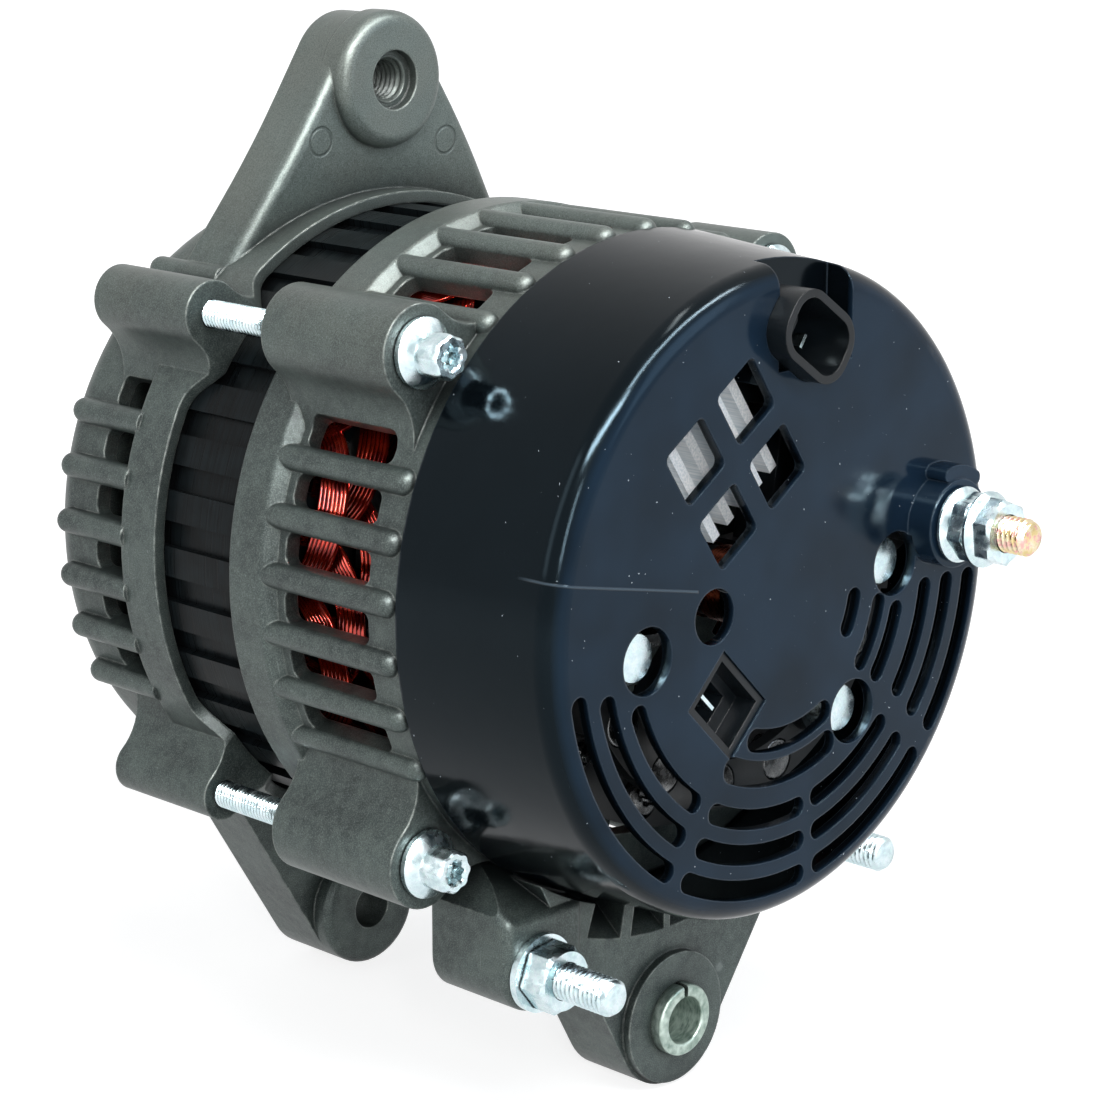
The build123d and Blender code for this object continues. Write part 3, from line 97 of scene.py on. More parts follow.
def solids_of(node):
    """The boxes of a CAD node's separate solids, as pairs of corners."""
    bm = bmesh.new()
    bm.from_mesh(frame["nodes"][node].data)
    bmesh.ops.remove_doubles(bm, verts=bm.verts, dist=1e-6)
    left = set(bm.verts)
    boxes = []
    while left:
        reach = [left.pop()]
        group = []
        while reach:
            vert = reach.pop()
            group.append(vert.co.copy())
            near = [edge.other_vert(vert) for edge in vert.link_edges]
            fresh = [other for other in near if other in left]
            left.difference_update(fresh)
            reach.extend(fresh)
        low = Vector([min(co[axis] for co in group) for axis in range(3)])
        high = Vector([max(co[axis] for co in group) for axis in range(3)])
        boxes.append((low, high))
    bm.free()
    return sorted(boxes, key=lambda box: (round(box[0].x, 4), round(box[0].z, 4)))


def clock(radius, degrees, y=0.0):
    """A place by its distance from the rotor axis and its clock angle as seen from the cover."""
    angle = math.radians(degrees)
    return Vector((radius * math.sin(angle), y, ROTOR_Z + radius * math.cos(angle)))


ROTOR_Z = middle_of("slip_rings").z
CORE_START, CORE_END = y_range("stator_core")
STUD_BOSS = 6 * MM
COVER_FACE = y_range("rear_cover")[0] + STUD_BOSS
print("rotor axis height", round(ROTOR_Z, 4), "core from", CORE_START, "to", CORE_END)

# %% [markdown]
# ## Building helpers
# Most small metal pieces are turned on a lathe or pressed round, so one helper spins a profile and may then push
# each vertex in or out by its angle: that gives threads, hexagons with chamfers and lobed heads from one function.

# %% Mesh helpers
def finish_mesh(bm, name, material, body="housing", sharp=35.0):
    """Turns a bmesh into an object with soft and sharp edges, in its material, riding its body."""
    bmesh.ops.remove_doubles(bm, verts=bm.verts, dist=1e-7)
    bmesh.ops.recalc_face_normals(bm, faces=bm.faces)
    limit = math.radians(sharp)
    for face in bm.faces:
        face.smooth = True
    for edge in bm.edges:
        edge.smooth = edge.calc_face_angle(0.0) < limit
    mesh = bpy.data.meshes.new(name)
    bm.to_mesh(mesh)
    bm.free()
    piece = bpy.data.objects.new(name, mesh)
    bpy.context.scene.collection.objects.link(piece)
    mesh.materials.append(material)
    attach(piece, body)
    return piece


def lathe(bm, profile, centre, shape=None, steps=64):
    """Spins a profile of (radius, y) about a line along Y through centre, then reshapes it by angle."""
    corners = [bm.verts.new((radius, y, 0.0)) for radius, y in profile]
    edges = [bm.edges.new(pair) for pair in zip(corners, corners[1:])]
    made = bmesh.ops.spin(bm, geom=corners + edges, cent=(0, 0, 0), axis=(0, 1, 0), angle=FULL_TURN, steps=steps,
                          use_duplicate=False)
    bmesh.ops.remove_doubles(bm, verts=bm.verts, dist=1e-8)
    for vert in bm.verts:
        if vert.tag:
            continue
        radius = math.hypot(vert.co.x, vert.co.z)
        if shape and radius > 1e-7:
            scale = shape(radius, vert.co.y, math.atan2(vert.co.x, vert.co.z)) / radius
            vert.co.x *= scale
            vert.co.z *= scale
        vert.co.x += centre[0]
        vert.co.z += centre[2]
        vert.tag = True
    return made


def hexagon(flats, turn=0.0):
    """A shape that trims a turned blank to a hexagon, which leaves the chamfers of a real nut."""
    def trim(radius, y, angle):
        off = (angle + turn) % (FULL_TURN / 6) - FULL_TURN / 12
        return min(radius, flats / 2 / math.cos(off))
    return trim


def thread(radius, pitch, depth, start, end):
    """A shape that cuts a screw thread into a rod, fading out over a pitch at each end."""
    def cut(blank, y, angle):
        if blank < radius * 0.9:
            return blank
        phase = (y / pitch - angle / FULL_TURN) % 1.0
        flank = min(1.0, max(0.0, abs(phase - 0.5) * 2.6 - 0.15))
        fade = min(1.0, max(0.0, (y - start) / pitch), max(0.0, (end - y) / pitch))
        return blank - depth * flank * fade
    return cut


def rod_profile(radius, low, high, chamfer, cuts):
    """The profile of a chamfered rod, with its side divided for a thread."""
    side = [(radius, low + chamfer + (high - low - 2 * chamfer) * step / cuts) for step in range(cuts + 1)]
    return [(0.0, low), (radius - chamfer, low)] + side + [(radius - chamfer, high), (0.0, high)]


def wires(name, paths, radius, material, body="housing", sides=3):
    """Round wires along paths, as one mesh."""
    curve = bpy.data.curves.new(name, "CURVE")
    curve.dimensions = "3D"
    curve.bevel_depth = radius
    curve.bevel_resolution = sides
    curve.use_fill_caps = True
    for path in paths:
        spline = curve.splines.new("POLY")
        spline.points.add(len(path) - 1)
        for point, place in zip(spline.points, path):
            point.co = (*place, 1.0)
    source = bpy.data.objects.new(name + ".path", curve)
    mesh = bpy.data.meshes.new_from_object(source)
    bpy.data.objects.remove(source)
    mesh.name = name
    bm = bmesh.new()
    bm.from_mesh(mesh)
    bpy.data.meshes.remove(mesh)
    return finish_mesh(bm, name, material, body, 60.0)


# %% [markdown]
# ## Material helpers
# Colours are given as the sRGB hex a colour picker shows and made linear once. One function adds a node with its
# settings and links, so each material reads as its recipe.

# %% Shader helpers
def srgb(text):
    """A linear colour from an sRGB hex."""
    channels = [int(text[place:place + 2], 16) / 255 for place in (1, 3, 5)]
    linear = [c / 12.92 if c <= 0.04045 else ((c + 0.055) / 1.055) ** 2.4 for c in channels]
    return (*linear, 1.0)


def add(tree, kind, inputs=None, **settings):
    """Adds a node, sets its properties, and fills its sockets with values or other nodes' outputs."""
    new = tree.nodes.new(kind)
    for name, value in settings.items():
        setattr(new, name, value)
    for socket, value in (inputs or {}).items():
        if isinstance(value, bpy.types.NodeSocket):
            tree.links.new(value, new.inputs[socket])
        else:
            new.inputs[socket].default_value = value
    return new


def new_material(name):
    """An empty material, its tree, its object coordinates and its shader."""
    material = bpy.data.materials.new(name)
    material.use_nodes = True
    tree = material.node_tree
    tree.nodes.clear()
    shader = add(tree, "ShaderNodeBsdfPrincipled")
    add(tree, "ShaderNodeOutputMaterial", {"Surface": shader.outputs[0]})
    place = add(tree, "ShaderNodeTexCoord").outputs["Object"]
    return material, tree, place, shader


def fill(tree, shader, **inputs):
    """Sets the shader's sockets; an underscore in a name stands for a space."""
    for name, value in inputs.items():
        socket = shader.inputs[name.replace("_", " ")]
        if isinstance(value, bpy.types.NodeSocket):
            tree.links.new(value, socket)
        else:
            socket.default_value = value


def noise(tree, place, size, detail=3.0, rough=0.5):
    """Noise whose patches are about size across, in metres."""
    return add(tree, "ShaderNodeTexNoise", {"Vector": place, "Scale": 1 / size, "Detail": detail,
                                            "Roughness": rough}).outputs["Fac"]


def ramp(tree, value, low, high, first=0.0, last=1.0):
    """Maps value from low..high to first..last, held at both ends."""
    return add(tree, "ShaderNodeMapRange", {"Value": value, "From Min": low, "From Max": high, "To Min": first,
                                            "To Max": last}).outputs[0]


def mix(tree, factor, first, second):
    """Mixes two colours."""
    node = tree.nodes.new("ShaderNodeMix")
    node.data_type = "RGBA"
    for socket, value in ((0, factor), (6, first), (7, second)):
        if isinstance(value, bpy.types.NodeSocket):
            tree.links.new(value, node.inputs[socket])
        else:
            node.inputs[socket].default_value = value
    return node.outputs[2]


def maths(tree, operation, first, second):
    """One arithmetic step."""
    return add(tree, "ShaderNodeMath", {0: first, 1: second}, operation=operation).outputs[0]


def bump(tree, height, depth, normal=None, strength=1.0):
    """A bump of that depth in metres."""
    inputs = {"Height": height, "Distance": depth, "Strength": strength}
    if normal is not None:
        inputs["Normal"] = normal
    return add(tree, "ShaderNodeBump", inputs).outputs[0]


def bevel_edge_mask(tree, radius, low, high):
    """Where an edge turns within radius: one on the edge, zero on the flat."""
    soft = add(tree, "ShaderNodeBevel", {"Radius": radius}, samples=4).outputs[0]
    hard = add(tree, "ShaderNodeNewGeometry").outputs["Normal"]
    facing = add(tree, "ShaderNodeVectorMath", {0: soft, 1: hard}, operation="DOT_PRODUCT").outputs["Value"]
    return ramp(tree, facing, high, low), soft


def open_sky(tree, distance, low=0.0, high=1.0):
    """How open a place is: zero deep in a groove or corner of about that size, one in the open."""
    return ramp(tree, add(tree, "ShaderNodeAmbientOcclusion", {"Distance": distance}, samples=4).outputs["AO"],
                low, high)


# %% [markdown]
# ## Cast aluminium with a dark grey conversion coat
# The frames are pressure die castings. Their skin is a grey with a green-blue cast, speckled from blasting, a bit
# glossy, with larger cloudy patches that turn brownish on the upper side, where oil has stained the coat. Handling
# rubs the coat off the edges and rib ends, where bare metal shows, and leaves short scratches.

# %% Cast frame
EJECTOR_MARKS = ((-18.7, 84.5), (19.1, 81.8))
EJECTOR_RADIUS = 3.1 * MM
EAR_FRONT = -26.0 * MM


def ejector_marks(tree, axes):
    """One on the thin rings that the two ejector pins left on the ear's front."""
    rings = 0.0
    for across, up in EJECTOR_MARKS:
        side = maths(tree, "SUBTRACT", axes["X"], across * MM)
        rise = maths(tree, "SUBTRACT", axes["Z"], ROTOR_Z + up * MM)
        far = maths(tree, "SQRT", maths(tree, "ADD", maths(tree, "MULTIPLY", side, side),
                                        maths(tree, "MULTIPLY", rise, rise)), 0.0)
        off = maths(tree, "ABSOLUTE", maths(tree, "SUBTRACT", far, EJECTOR_RADIUS), 0.0)
        rings = maths(tree, "ADD", rings, ramp(tree, off, 0.45 * MM, 0.15 * MM))
    return maths(tree, "MULTIPLY", rings, ramp(tree, axes["Y"], EAR_FRONT + 0.5 * MM, EAR_FRONT))


def cast_frame():
    material, tree, place, shader = new_material("cast_frame")
    axes = add(tree, "ShaderNodeSeparateXYZ", {0: place}).outputs
    clouds = noise(tree, place, 16 * MM, 4.0, 0.6)
    stains = noise(tree, place, 30 * MM, 3.0, 0.55)
    mottle = noise(tree, place, 2.4 * MM, 3.0, 0.6)
    grain = noise(tree, place, 0.28 * MM, 2.0, 0.6)
    speckle = noise(tree, place, 0.5 * MM, 1.0)
    colour = mix(tree, ramp(tree, clouds, 0.38, 0.62), srgb("#373e3d"), srgb("#4c5653"))
    colour = mix(tree, ramp(tree, mottle, 0.38, 0.66, 0.0, 0.40), colour, srgb("#636d68"))
    high_up = ramp(tree, axes["Z"], ROTOR_Z + 0.040, ROTOR_Z + 0.080)
    brown = maths(tree, "MULTIPLY", high_up, ramp(tree, stains, 0.45, 0.62, 0.08, 0.6))
    colour = mix(tree, brown, colour, srgb("#5b554c"))
    # Painted light: the upper part of the frames is painted lighter, as if lit from above.
    colour = mix(tree, maths(tree, "MULTIPLY", high_up, 0.50), colour, srgb("#77827d"))
    colour = mix(tree, ramp(tree, grain, 0.50, 0.68, 0.0, 0.35), colour, srgb("#8a9693"))
    colour = mix(tree, ramp(tree, grain, 0.50, 0.32, 0.0, 0.40), colour, srgb("#232a2b"))
    colour = mix(tree, ramp(tree, speckle, 0.76, 0.82, 0.0, 0.5), colour, srgb("#a9b2b0"))
    streaks = add(tree, "ShaderNodeMapping", {"Vector": place, "Rotation": (0.5, 0.3, 0.9),
                                              "Scale": (1 / (9 * MM), 1 / (0.22 * MM), 1 / (9 * MM))}).outputs[0]
    scratch = add(tree, "ShaderNodeTexNoise", {"Vector": streaks, "Scale": 1.0, "Detail": 1.0}).outputs["Fac"]
    scratched = maths(tree, "MULTIPLY", ramp(tree, scratch, 0.72, 0.76), ramp(tree, clouds, 0.52, 0.60, 0.0, 0.4))
    colour = mix(tree, scratched, colour, srgb("#98a19f"))
    edge_wear_and_highlight, soft = bevel_edge_mask(tree, 0.7 * MM, 0.84, 0.97)
    worn = maths(tree, "MULTIPLY", edge_wear_and_highlight, ramp(tree, mottle, 0.40, 0.60, 0.2, 0.9))
    colour = mix(tree, worn, colour, srgb("#aab1ab"))
    marks = ejector_marks(tree, axes)
    colour = mix(tree, maths(tree, "MULTIPLY", marks, 0.3), colour, srgb("#262d2d"))
    # Painted shade: recesses and corners are darkened by how enclosed they are.
    colour = mix(tree, open_sky(tree, 8 * MM, 0.25, 0.92), srgb("#101516"), colour)
    relief = bump(tree, mottle, 0.10 * MM, bump(tree, grain, 0.035 * MM, bump(tree, marks, -0.15 * MM, soft)))
    fill(tree, shader, Base_Color=colour, Metallic=0.35, Roughness=ramp(tree, grain, 0.3, 0.7, 0.32, 0.48),
         Specular_IOR_Level=0.34, Normal=relief)
    return material


# %% [markdown]
# ## Moulded glossy cover
# The cover is injection moulded nylon, almost black with a blue cast, glossy from a polished tool. A slight
# waviness breaks the long highlights, and a few specks of dust sit on it. The two halves of the tool leave a fine
# raised line from the bare hole to the rim and round the shoulder.

# %% Cover plastic
MOULD_LINE_START = -27.0 * MM
MOULD_LINE_FALL = 0.2125
MOULD_LINE_RISE = 0.44 * MM


def cover_black():
    material, tree, place, shader = new_material("cover_black")
    waves = noise(tree, place, 9 * MM, 2.0)
    fine = noise(tree, place, 1.1 * MM, 2.0)
    specks = noise(tree, place, 0.7 * MM, 0.0)
    axes = add(tree, "ShaderNodeSeparateXYZ", {0: place}).outputs
    colour = mix(tree, ramp(tree, noise(tree, place, 30 * MM), 0.3, 0.7), srgb("#04070a"), srgb("#090e12"))
    # Painted light: the flat face is painted a lighter blue-grey than the side, as where light falls on it.
    facing = ramp(tree, axes["Y"], COVER_FACE + 1.5 * MM, COVER_FACE + 0.4 * MM)
    lit_face_tone = mix(tree, ramp(tree, noise(tree, place, 24 * MM, 2.0), 0.35, 0.65), srgb("#0f1a26"), srgb("#182838"))
    colour = mix(tree, facing, colour, lit_face_tone)
    colour = mix(tree, ramp(tree, specks, 0.885, 0.90), colour, srgb("#aab4bc"))
    level = maths(tree, "MULTIPLY", axes["X"], MOULD_LINE_FALL)
    above = maths(tree, "SUBTRACT", maths(tree, "ADD", axes["Z"], level), ROTOR_Z + MOULD_LINE_RISE)
    on_line = maths(tree, "MULTIPLY", ramp(tree, maths(tree, "ABSOLUTE", above, 0.0), 0.36 * MM, 0.14 * MM),
                    ramp(tree, axes["X"], MOULD_LINE_START + 0.3 * MM, MOULD_LINE_START))
    on_line = maths(tree, "MULTIPLY", on_line, ramp(tree, axes["Y"], COVER_FACE + 10 * MM, COVER_FACE + 6 * MM))
    colour = mix(tree, maths(tree, "MULTIPLY", on_line, 0.55), colour, srgb("#5b6a76"))
    # Painted highlight: the cover's rounded edges are painted lighter, as glossy rims that catch the light.
    edge_wear_and_highlight, soft = bevel_edge_mask(tree, 0.6 * MM, 0.84, 0.97)
    colour = mix(tree, maths(tree, "MULTIPLY", edge_wear_and_highlight, 0.35), colour, srgb("#5f6d7c"))
    relief = bump(tree, on_line, 0.20 * MM, bump(tree, fine, 0.003 * MM, bump(tree, waves, 0.05 * MM, soft)))
    fill(tree, shader, Base_Color=colour, Roughness=ramp(tree, waves, 0.3, 0.7, 0.10, 0.17),
         Specular_IOR_Level=0.17, Specular_Tint=srgb("#b8dcf0"), Normal=relief)
    return material


# %% [markdown]
# ## Zinc-plated steel
# Bolts, nuts and studs are bright zinc with a blue passivation, rolled and therefore streaked along the turn. The
# output stud has the yellow passivation, which shines in bands from gold to pink.

# %% Plated steel
def plated(name, first, second, third, roughness=0.22):
    material, tree, place, shader = new_material(name)
    patches = noise(tree, place, 2.2 * MM, 3.0)
    bands = noise(tree, place, 1.1 * MM, 1.0)
    fine = noise(tree, place, 0.2 * MM, 2.0)
    colour = mix(tree, ramp(tree, patches, 0.35, 0.65), srgb(first), srgb(second))
    colour = mix(tree, ramp(tree, bands, 0.50, 0.66, 0.0, 0.8), colour, srgb(third))
    # Painted shade: thread grooves and other recesses are darkened.
    colour = mix(tree, open_sky(tree, 1.0 * MM, 0.42, 0.74), srgb("#15191a"), colour)
    fill(tree, shader, Base_Color=colour, Metallic=1.0,
         Roughness=ramp(tree, patches, 0.3, 0.7, roughness - 0.06, roughness + 0.12),
         Normal=bump(tree, fine, 0.006 * MM))
    return material


# %% [markdown]
# ## Enamelled copper wire
# Magnet wire shows copper through a clear red enamel, so its highlights are almost white and its body is a deep red
# that is painted black between the turns as shade.

# %% Wire enamel
def enamel(name, first, second):
    material, tree, place, shader = new_material(name)
    patches = noise(tree, place, 4 * MM, 2.0)
    colour = mix(tree, ramp(tree, patches, 0.35, 0.65), srgb(first), srgb(second))
    # Painted shade: the wire goes black where turns crowd together.
    colour = mix(tree, open_sky(tree, 2.4 * MM, 0.35, 0.85), srgb("#0a0202"), colour)
    fill(tree, shader, Base_Color=colour, Metallic=0.85, Roughness=ramp(tree, patches, 0.3, 0.7, 0.10, 0.20),
         Coat_Weight=1.0, Coat_Roughness=0.06)
    return material


# %% [markdown]
# ## Turned and pressed metal
# Bare metal keeps the lines of its process. A stretched noise draws them: around the axis on turned parts, and the
# lamination edges on the painted core.

# %% Bare and painted metal
def streaked(name, first, second, stretch, roughness, depth=0.01, metallic=1.0, specular=0.5, shade=14.0):
    """Metal with lines: stretch gives a streak's size along X, Y and Z, shade the size of a recess painted in shade,
    in mm.
    """
    material, tree, place, shader = new_material(name)
    mapped = add(tree, "ShaderNodeMapping", {"Vector": place, "Scale": [1 / (size * MM) for size in stretch]})
    lines = add(tree, "ShaderNodeTexNoise", {"Vector": mapped.outputs[0], "Scale": 1.0, "Detail": 3.0}).outputs["Fac"]
    patches = noise(tree, place, 6 * MM, 3.0)
    blotch = maths(tree, "MULTIPLY", lines, patches)
    colour = mix(tree, ramp(tree, blotch, 0.15, 0.38), srgb(first), srgb(second))
    # Painted shade: recesses of about the shade size are darkened.
    colour = mix(tree, open_sky(tree, shade * MM, 0.35, 0.85), srgb("#0b0c0d"), colour)
    fill(tree, shader, Base_Color=colour, Metallic=metallic, Specular_IOR_Level=specular,
         Roughness=ramp(tree, lines, 0.3, 0.7, roughness - 0.08, roughness + 0.08),
         Normal=bump(tree, lines, depth * MM))
    return material


# %% [markdown]
# ## Extruded rectifier plate
# The cooling fins were milled bright and stand in the open; away from them the plates are painted dark as shade,
# so little of them shows through the slots.

# %% Rectifier plates
FIN_CENTRE = Vector((-15.6 * MM, 0.0, 30.2 * MM))
FIN_REACH = 19 * MM


def rectifier_plate():
    material, tree, place, shader = new_material("bare_aluminium")
    moved = add(tree, "ShaderNodeVectorMath", {0: place, 1: (-FIN_CENTRE.x, 0.0, -ROTOR_Z - FIN_CENTRE.z)},
                operation="ADD").outputs[0]
    flat = add(tree, "ShaderNodeVectorMath", {0: moved, 1: (1.0, 0.0, 1.0)}, operation="MULTIPLY").outputs[0]
    far = add(tree, "ShaderNodeVectorMath", {0: flat}, operation="LENGTH").outputs["Value"]
    long = add(tree, "ShaderNodeMapping", {"Vector": place, "Scale": (1 / (0.5 * MM), 1 / (14 * MM), 1 / (0.5 * MM))})
    lines = add(tree, "ShaderNodeTexNoise", {"Vector": long.outputs[0], "Scale": 1.0, "Detail": 2.0}).outputs["Fac"]
    bright = mix(tree, ramp(tree, lines, 0.3, 0.7), srgb("#d6dee2"), srgb("#ffffff"))
    # Painted shade: away from the fins the plates are painted dark.
    colour = mix(tree, ramp(tree, far, FIN_REACH, FIN_REACH + 3 * MM), bright, srgb("#26292b"))
    fill(tree, shader, Base_Color=colour, Metallic=0.1, Roughness=ramp(tree, lines, 0.3, 0.7, 0.28, 0.42),
         Normal=bump(tree, lines, 0.02 * MM))
    return material


# %% [markdown]
# ## Filled nylon for the inner mouldings
# Brush holder, regulator, connector and bushes are glass-filled, with a satin, slightly grainy black.

# %% Satin black moulding
def black_moulding():
    material, tree, place, shader = new_material("black_moulding")
    grain = noise(tree, place, 0.5 * MM, 2.0)
    colour = mix(tree, ramp(tree, noise(tree, place, 8 * MM), 0.3, 0.7), srgb("#0b1013"), srgb("#141a1f"))
    soft = add(tree, "ShaderNodeBevel", {"Radius": 0.35 * MM}, samples=4).outputs[0]
    fill(tree, shader, Base_Color=colour, Roughness=ramp(tree, grain, 0.3, 0.7, 0.28, 0.42),
         Specular_IOR_Level=0.25, Normal=bump(tree, grain, 0.015 * MM, soft))
    return material


# %% Finishes of every slot
FINISHES = {
    "cast_frame": cast_frame(),
    "cover_black": cover_black(),
    "black_moulding": black_moulding(),
    "zinc": plated("zinc", "#b9cdd2", "#dbe6ea", "#c6dcdc"),
    "yellow_zinc": plated("yellow_zinc", "#d6c08a", "#e6dcc4", "#dc9a9a"),
    "winding_red": enamel("winding_red", "#93100a", "#d63a1e"),
    "field_enamel": enamel("field_enamel", "#5a1a0c", "#7d2a12"),
    "bare_aluminium": rectifier_plate(),
    "core_black": streaked("core_black", "#070b0d", "#141b1e", (40, 0.5, 40), 0.33, 0.05, 0.0, 0.10, 5.0),
    "bushing_steel": streaked("bushing_steel", "#7d9287", "#c3d2c8", (1.6, 0.7, 1.6), 0.42, 0.03, 0.7, 0.5, 4.0),
    "shaft_steel": streaked("shaft_steel", "#8d8f90", "#b4b6b7", (2, 0.3, 2), 0.24),
    "rotor_iron": streaked("rotor_iron", "#2c2b2a", "#454341", (5, 5, 5), 0.5, 0.05, 0.8),
    "fan_steel": streaked("fan_steel", "#85888a", "#a9acad", (6, 6, 6), 0.34),
    "copper": streaked("copper", "#6e3320", "#8f4a30", (2, 0.3, 2), 0.28),
    "carbon": streaked("carbon", "#1a1a1b", "#2b2b2c", (1, 1, 1), 0.6, 0.02, 0.2),
    "spring_steel": streaked("spring_steel", "#8b8e90", "#b6b9bb", (1, 1, 1), 0.3),
    "pulley_steel": streaked("pulley_steel", "#4a4b4d", "#6a6c6e", (3, 0.3, 3), 0.36, 0.02, 0.9),
}
slot_of = {entry["node"]: entry["material_slot"] for entry in frame["record"]["subparts"]}
for node, thing in frame["nodes"].items():
    thing.data.materials.clear()
    thing.data.materials.append(FINISHES[slot_of[node]])
print("finishes", len(FINISHES), "dressed nodes", len(slot_of))

# %% [markdown]
# ## Camera, light and floor
# The photograph is a product shot on white with large soft lights: a long one above and to the left draws the
# streaks on the cover's shoulder, and a weaker one fills the face. The camera stands behind and to the left of the
# alternator with a long lens.

# %% Camera
CAMERA_PLACE = Vector((-0.4810, -0.5526, 0.26615))
CAMERA_TARGET = Vector((-0.00756, -0.0880, 0.10077))
LENS_MM = 103.98

camera = bpy.data.objects.new("camera", bpy.data.cameras.new("camera"))
camera.data.lens = LENS_MM
camera.data.sensor_width = 36.0
camera.data.clip_end = 20.0
camera.location = CAMERA_PLACE
camera.rotation_euler = (CAMERA_TARGET - CAMERA_PLACE).to_track_quat("-Z", "Y").to_euler()
bpy.context.scene.collection.objects.link(camera)
bpy.context.scene.camera = camera
bpy.context.scene.view_settings.view_transform = "Standard"

# %% Lights
def soft_light(name, place, target, size, power, colour="#ffffff", gloss_only=False):
    """A rectangular soft box that faces its target; one for gloss only draws highlights and lights nothing else."""
    lamp = bpy.data.lights.new(name, "AREA")
    lamp.shape = "RECTANGLE"
    lamp.size, lamp.size_y = size
    lamp.energy = power
    lamp.color = srgb(colour)[:3]
    holder = bpy.data.objects.new(name, lamp)
    holder.location = place
    holder.rotation_euler = (Vector(target) - Vector(place)).to_track_quat("-Z", "Y").to_euler()
    holder.visible_diffuse = not gloss_only
    bpy.context.scene.collection.objects.link(holder)
    return holder


HEART = Vector((0.0, -0.085, ROTOR_Z))
soft_light("key", HEART + Vector((-0.35, -0.75, 0.85)), HEART, (0.5, 0.3), 4.4)
soft_light("left", HEART + Vector((-1.05, 0.15, 0.55)), HEART, (0.35, 0.8), 2.4)
soft_light("top", HEART + Vector((0.12, -0.05, 1.1)), HEART, (0.40, 0.09), 2.0, "#fff4ea")
soft_light("front", HEART + Vector((0.45, -1.0, 0.45)), HEART, (0.5, 0.6), 2.8, "#d8eaff")

soft_light("strip", HEART + Vector((-0.45, -0.65, 0.75)), HEART, (0.62, 0.13), 22.0, gloss_only=True)
soft_light("rim", HEART + Vector((0.16, -0.60, 0.97)), HEART, (0.9, 0.11), 22.0, gloss_only=True)
soft_light("edge", HEART + Vector((-0.66, -0.82, 0.33)), HEART, (0.08, 0.4), 4.6)

world = bpy.data.worlds.new("studio")
world.use_nodes = True
bpy.context.scene.world = world
sky = world.node_tree
sky.nodes.clear()


def sees_background(tree):
    """One for rays from the camera, from gloss or through glass; zero for the light that falls on the object."""
    rays = add(tree, "ShaderNodeLightPath").outputs
    shiny = maths(tree, "MAXIMUM", rays["Is Glossy Ray"], rays["Is Transmission Ray"])
    return maths(tree, "MAXIMUM", rays["Is Camera Ray"], shiny)


dim = add(sky, "ShaderNodeBackground", {"Color": srgb("#e4ecf2"), "Strength": 0.28})
white = add(sky, "ShaderNodeBackground", {"Color": (1, 1, 1, 1), "Strength": 1.0})
blend = add(sky, "ShaderNodeMixShader", {0: sees_background(sky), 1: dim.outputs[0], 2: white.outputs[0]})
add(sky, "ShaderNodeOutputWorld", {"Surface": blend.outputs[0]})

# %% Floor
FLOOR_DROP = 0.2 * MM


def floor():
    """A white paper floor under the lowest lug that keeps the soft shadow."""
    bm = bmesh.new()
    bmesh.ops.create_grid(bm, x_segments=1, y_segments=1, size=3.0,
                          matrix=Matrix.Translation((0, -0.05, start_bounds[0][2] - FLOOR_DROP)))
    mesh = bpy.data.meshes.new("floor")
    bm.to_mesh(mesh)
    bm.free()
    piece = bpy.data.objects.new("floor", mesh)
    bpy.context.scene.collection.objects.link(piece)
    material, tree, place, shader = new_material("floor_paper")
    grain = noise(tree, place, 4 * MM)
    fill(tree, shader, Base_Color=(0.42, 0.42, 0.42, 1), Roughness=ramp(tree, grain, 0.3, 0.7, 0.8, 0.95))
    away = add(tree, "ShaderNodeVectorMath", {0: place}, operation="LENGTH").outputs["Value"]
    glow = add(tree, "ShaderNodeEmission", {"Color": (1, 1, 1, 1), "Strength": ramp(tree, away, 0.15, 0.6, 0.80, 1.0)})
    both = add(tree, "ShaderNodeAddShader", {0: shader.outputs[0], 1: glow.outputs[0]})
    shown = add(tree, "ShaderNodeMixShader", {0: sees_background(tree), 1: shader.outputs[0], 2: both.outputs[0]})
    output = next(node for node in tree.nodes if node.type == "OUTPUT_MATERIAL")
    tree.links.new(shown.outputs[0], output.inputs["Surface"])
    mesh.materials.append(material)
    return piece


floor()

# %% [markdown]
# ## Stator winding
# Each coil leaves one slot, crosses over two others and goes down a third. Its wires lie side by side in a bundle
# that leans over the next one, so the bundles cross as basket work. Three layers, one for each phase, fill the same
# ring as the CAD winding, which they replace: what runs through the core's slots can't be seen.

# %% Wire bundles
SLOTS = 36
SLOT_PITCH = 360 / SLOTS
COIL_SPAN = 3 * SLOT_PITCH
WIRE = 0.60 * MM
STRANDS = 7
LAYERS = 3
LAYER_STEP = 2.7 * MM
PATH_STEPS = 20
WINDING_LOW, WINDING_HIGH = (Vector(corner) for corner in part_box("stator_winding"))
WINDING_RADIUS = (WINDING_HIGH.x - WINDING_LOW.x) / 2


def bundle(slot_angle, start, reach, radius, lean):
    """The wires of one coil end, from its slot to the slot a span away."""
    paths = []
    for strand in range(STRANDS):
        offset = (strand - (STRANDS - 1) / 2) * 2.04 * WIRE
        path = []
        for step in range(PATH_STEPS + 1):
            share = step / PATH_STEPS
            lift = math.sin(math.pi * share) ** 0.7
            sweep = COIL_SPAN * (0.5 - 0.5 * math.cos(math.pi * share))
            spread = math.degrees(offset / radius) * (1 - 0.75 * lift) * (1 if share < 0.5 else -1)
            y = start + reach * lift - math.copysign(abs(offset + (STRANDS - 1) * WIRE), reach) * lift
            path.append(clock(radius - lean * (0.5 - lift) ** 2, slot_angle + sweep + spread * 0.8, y))
        paths.append(path)
    return paths


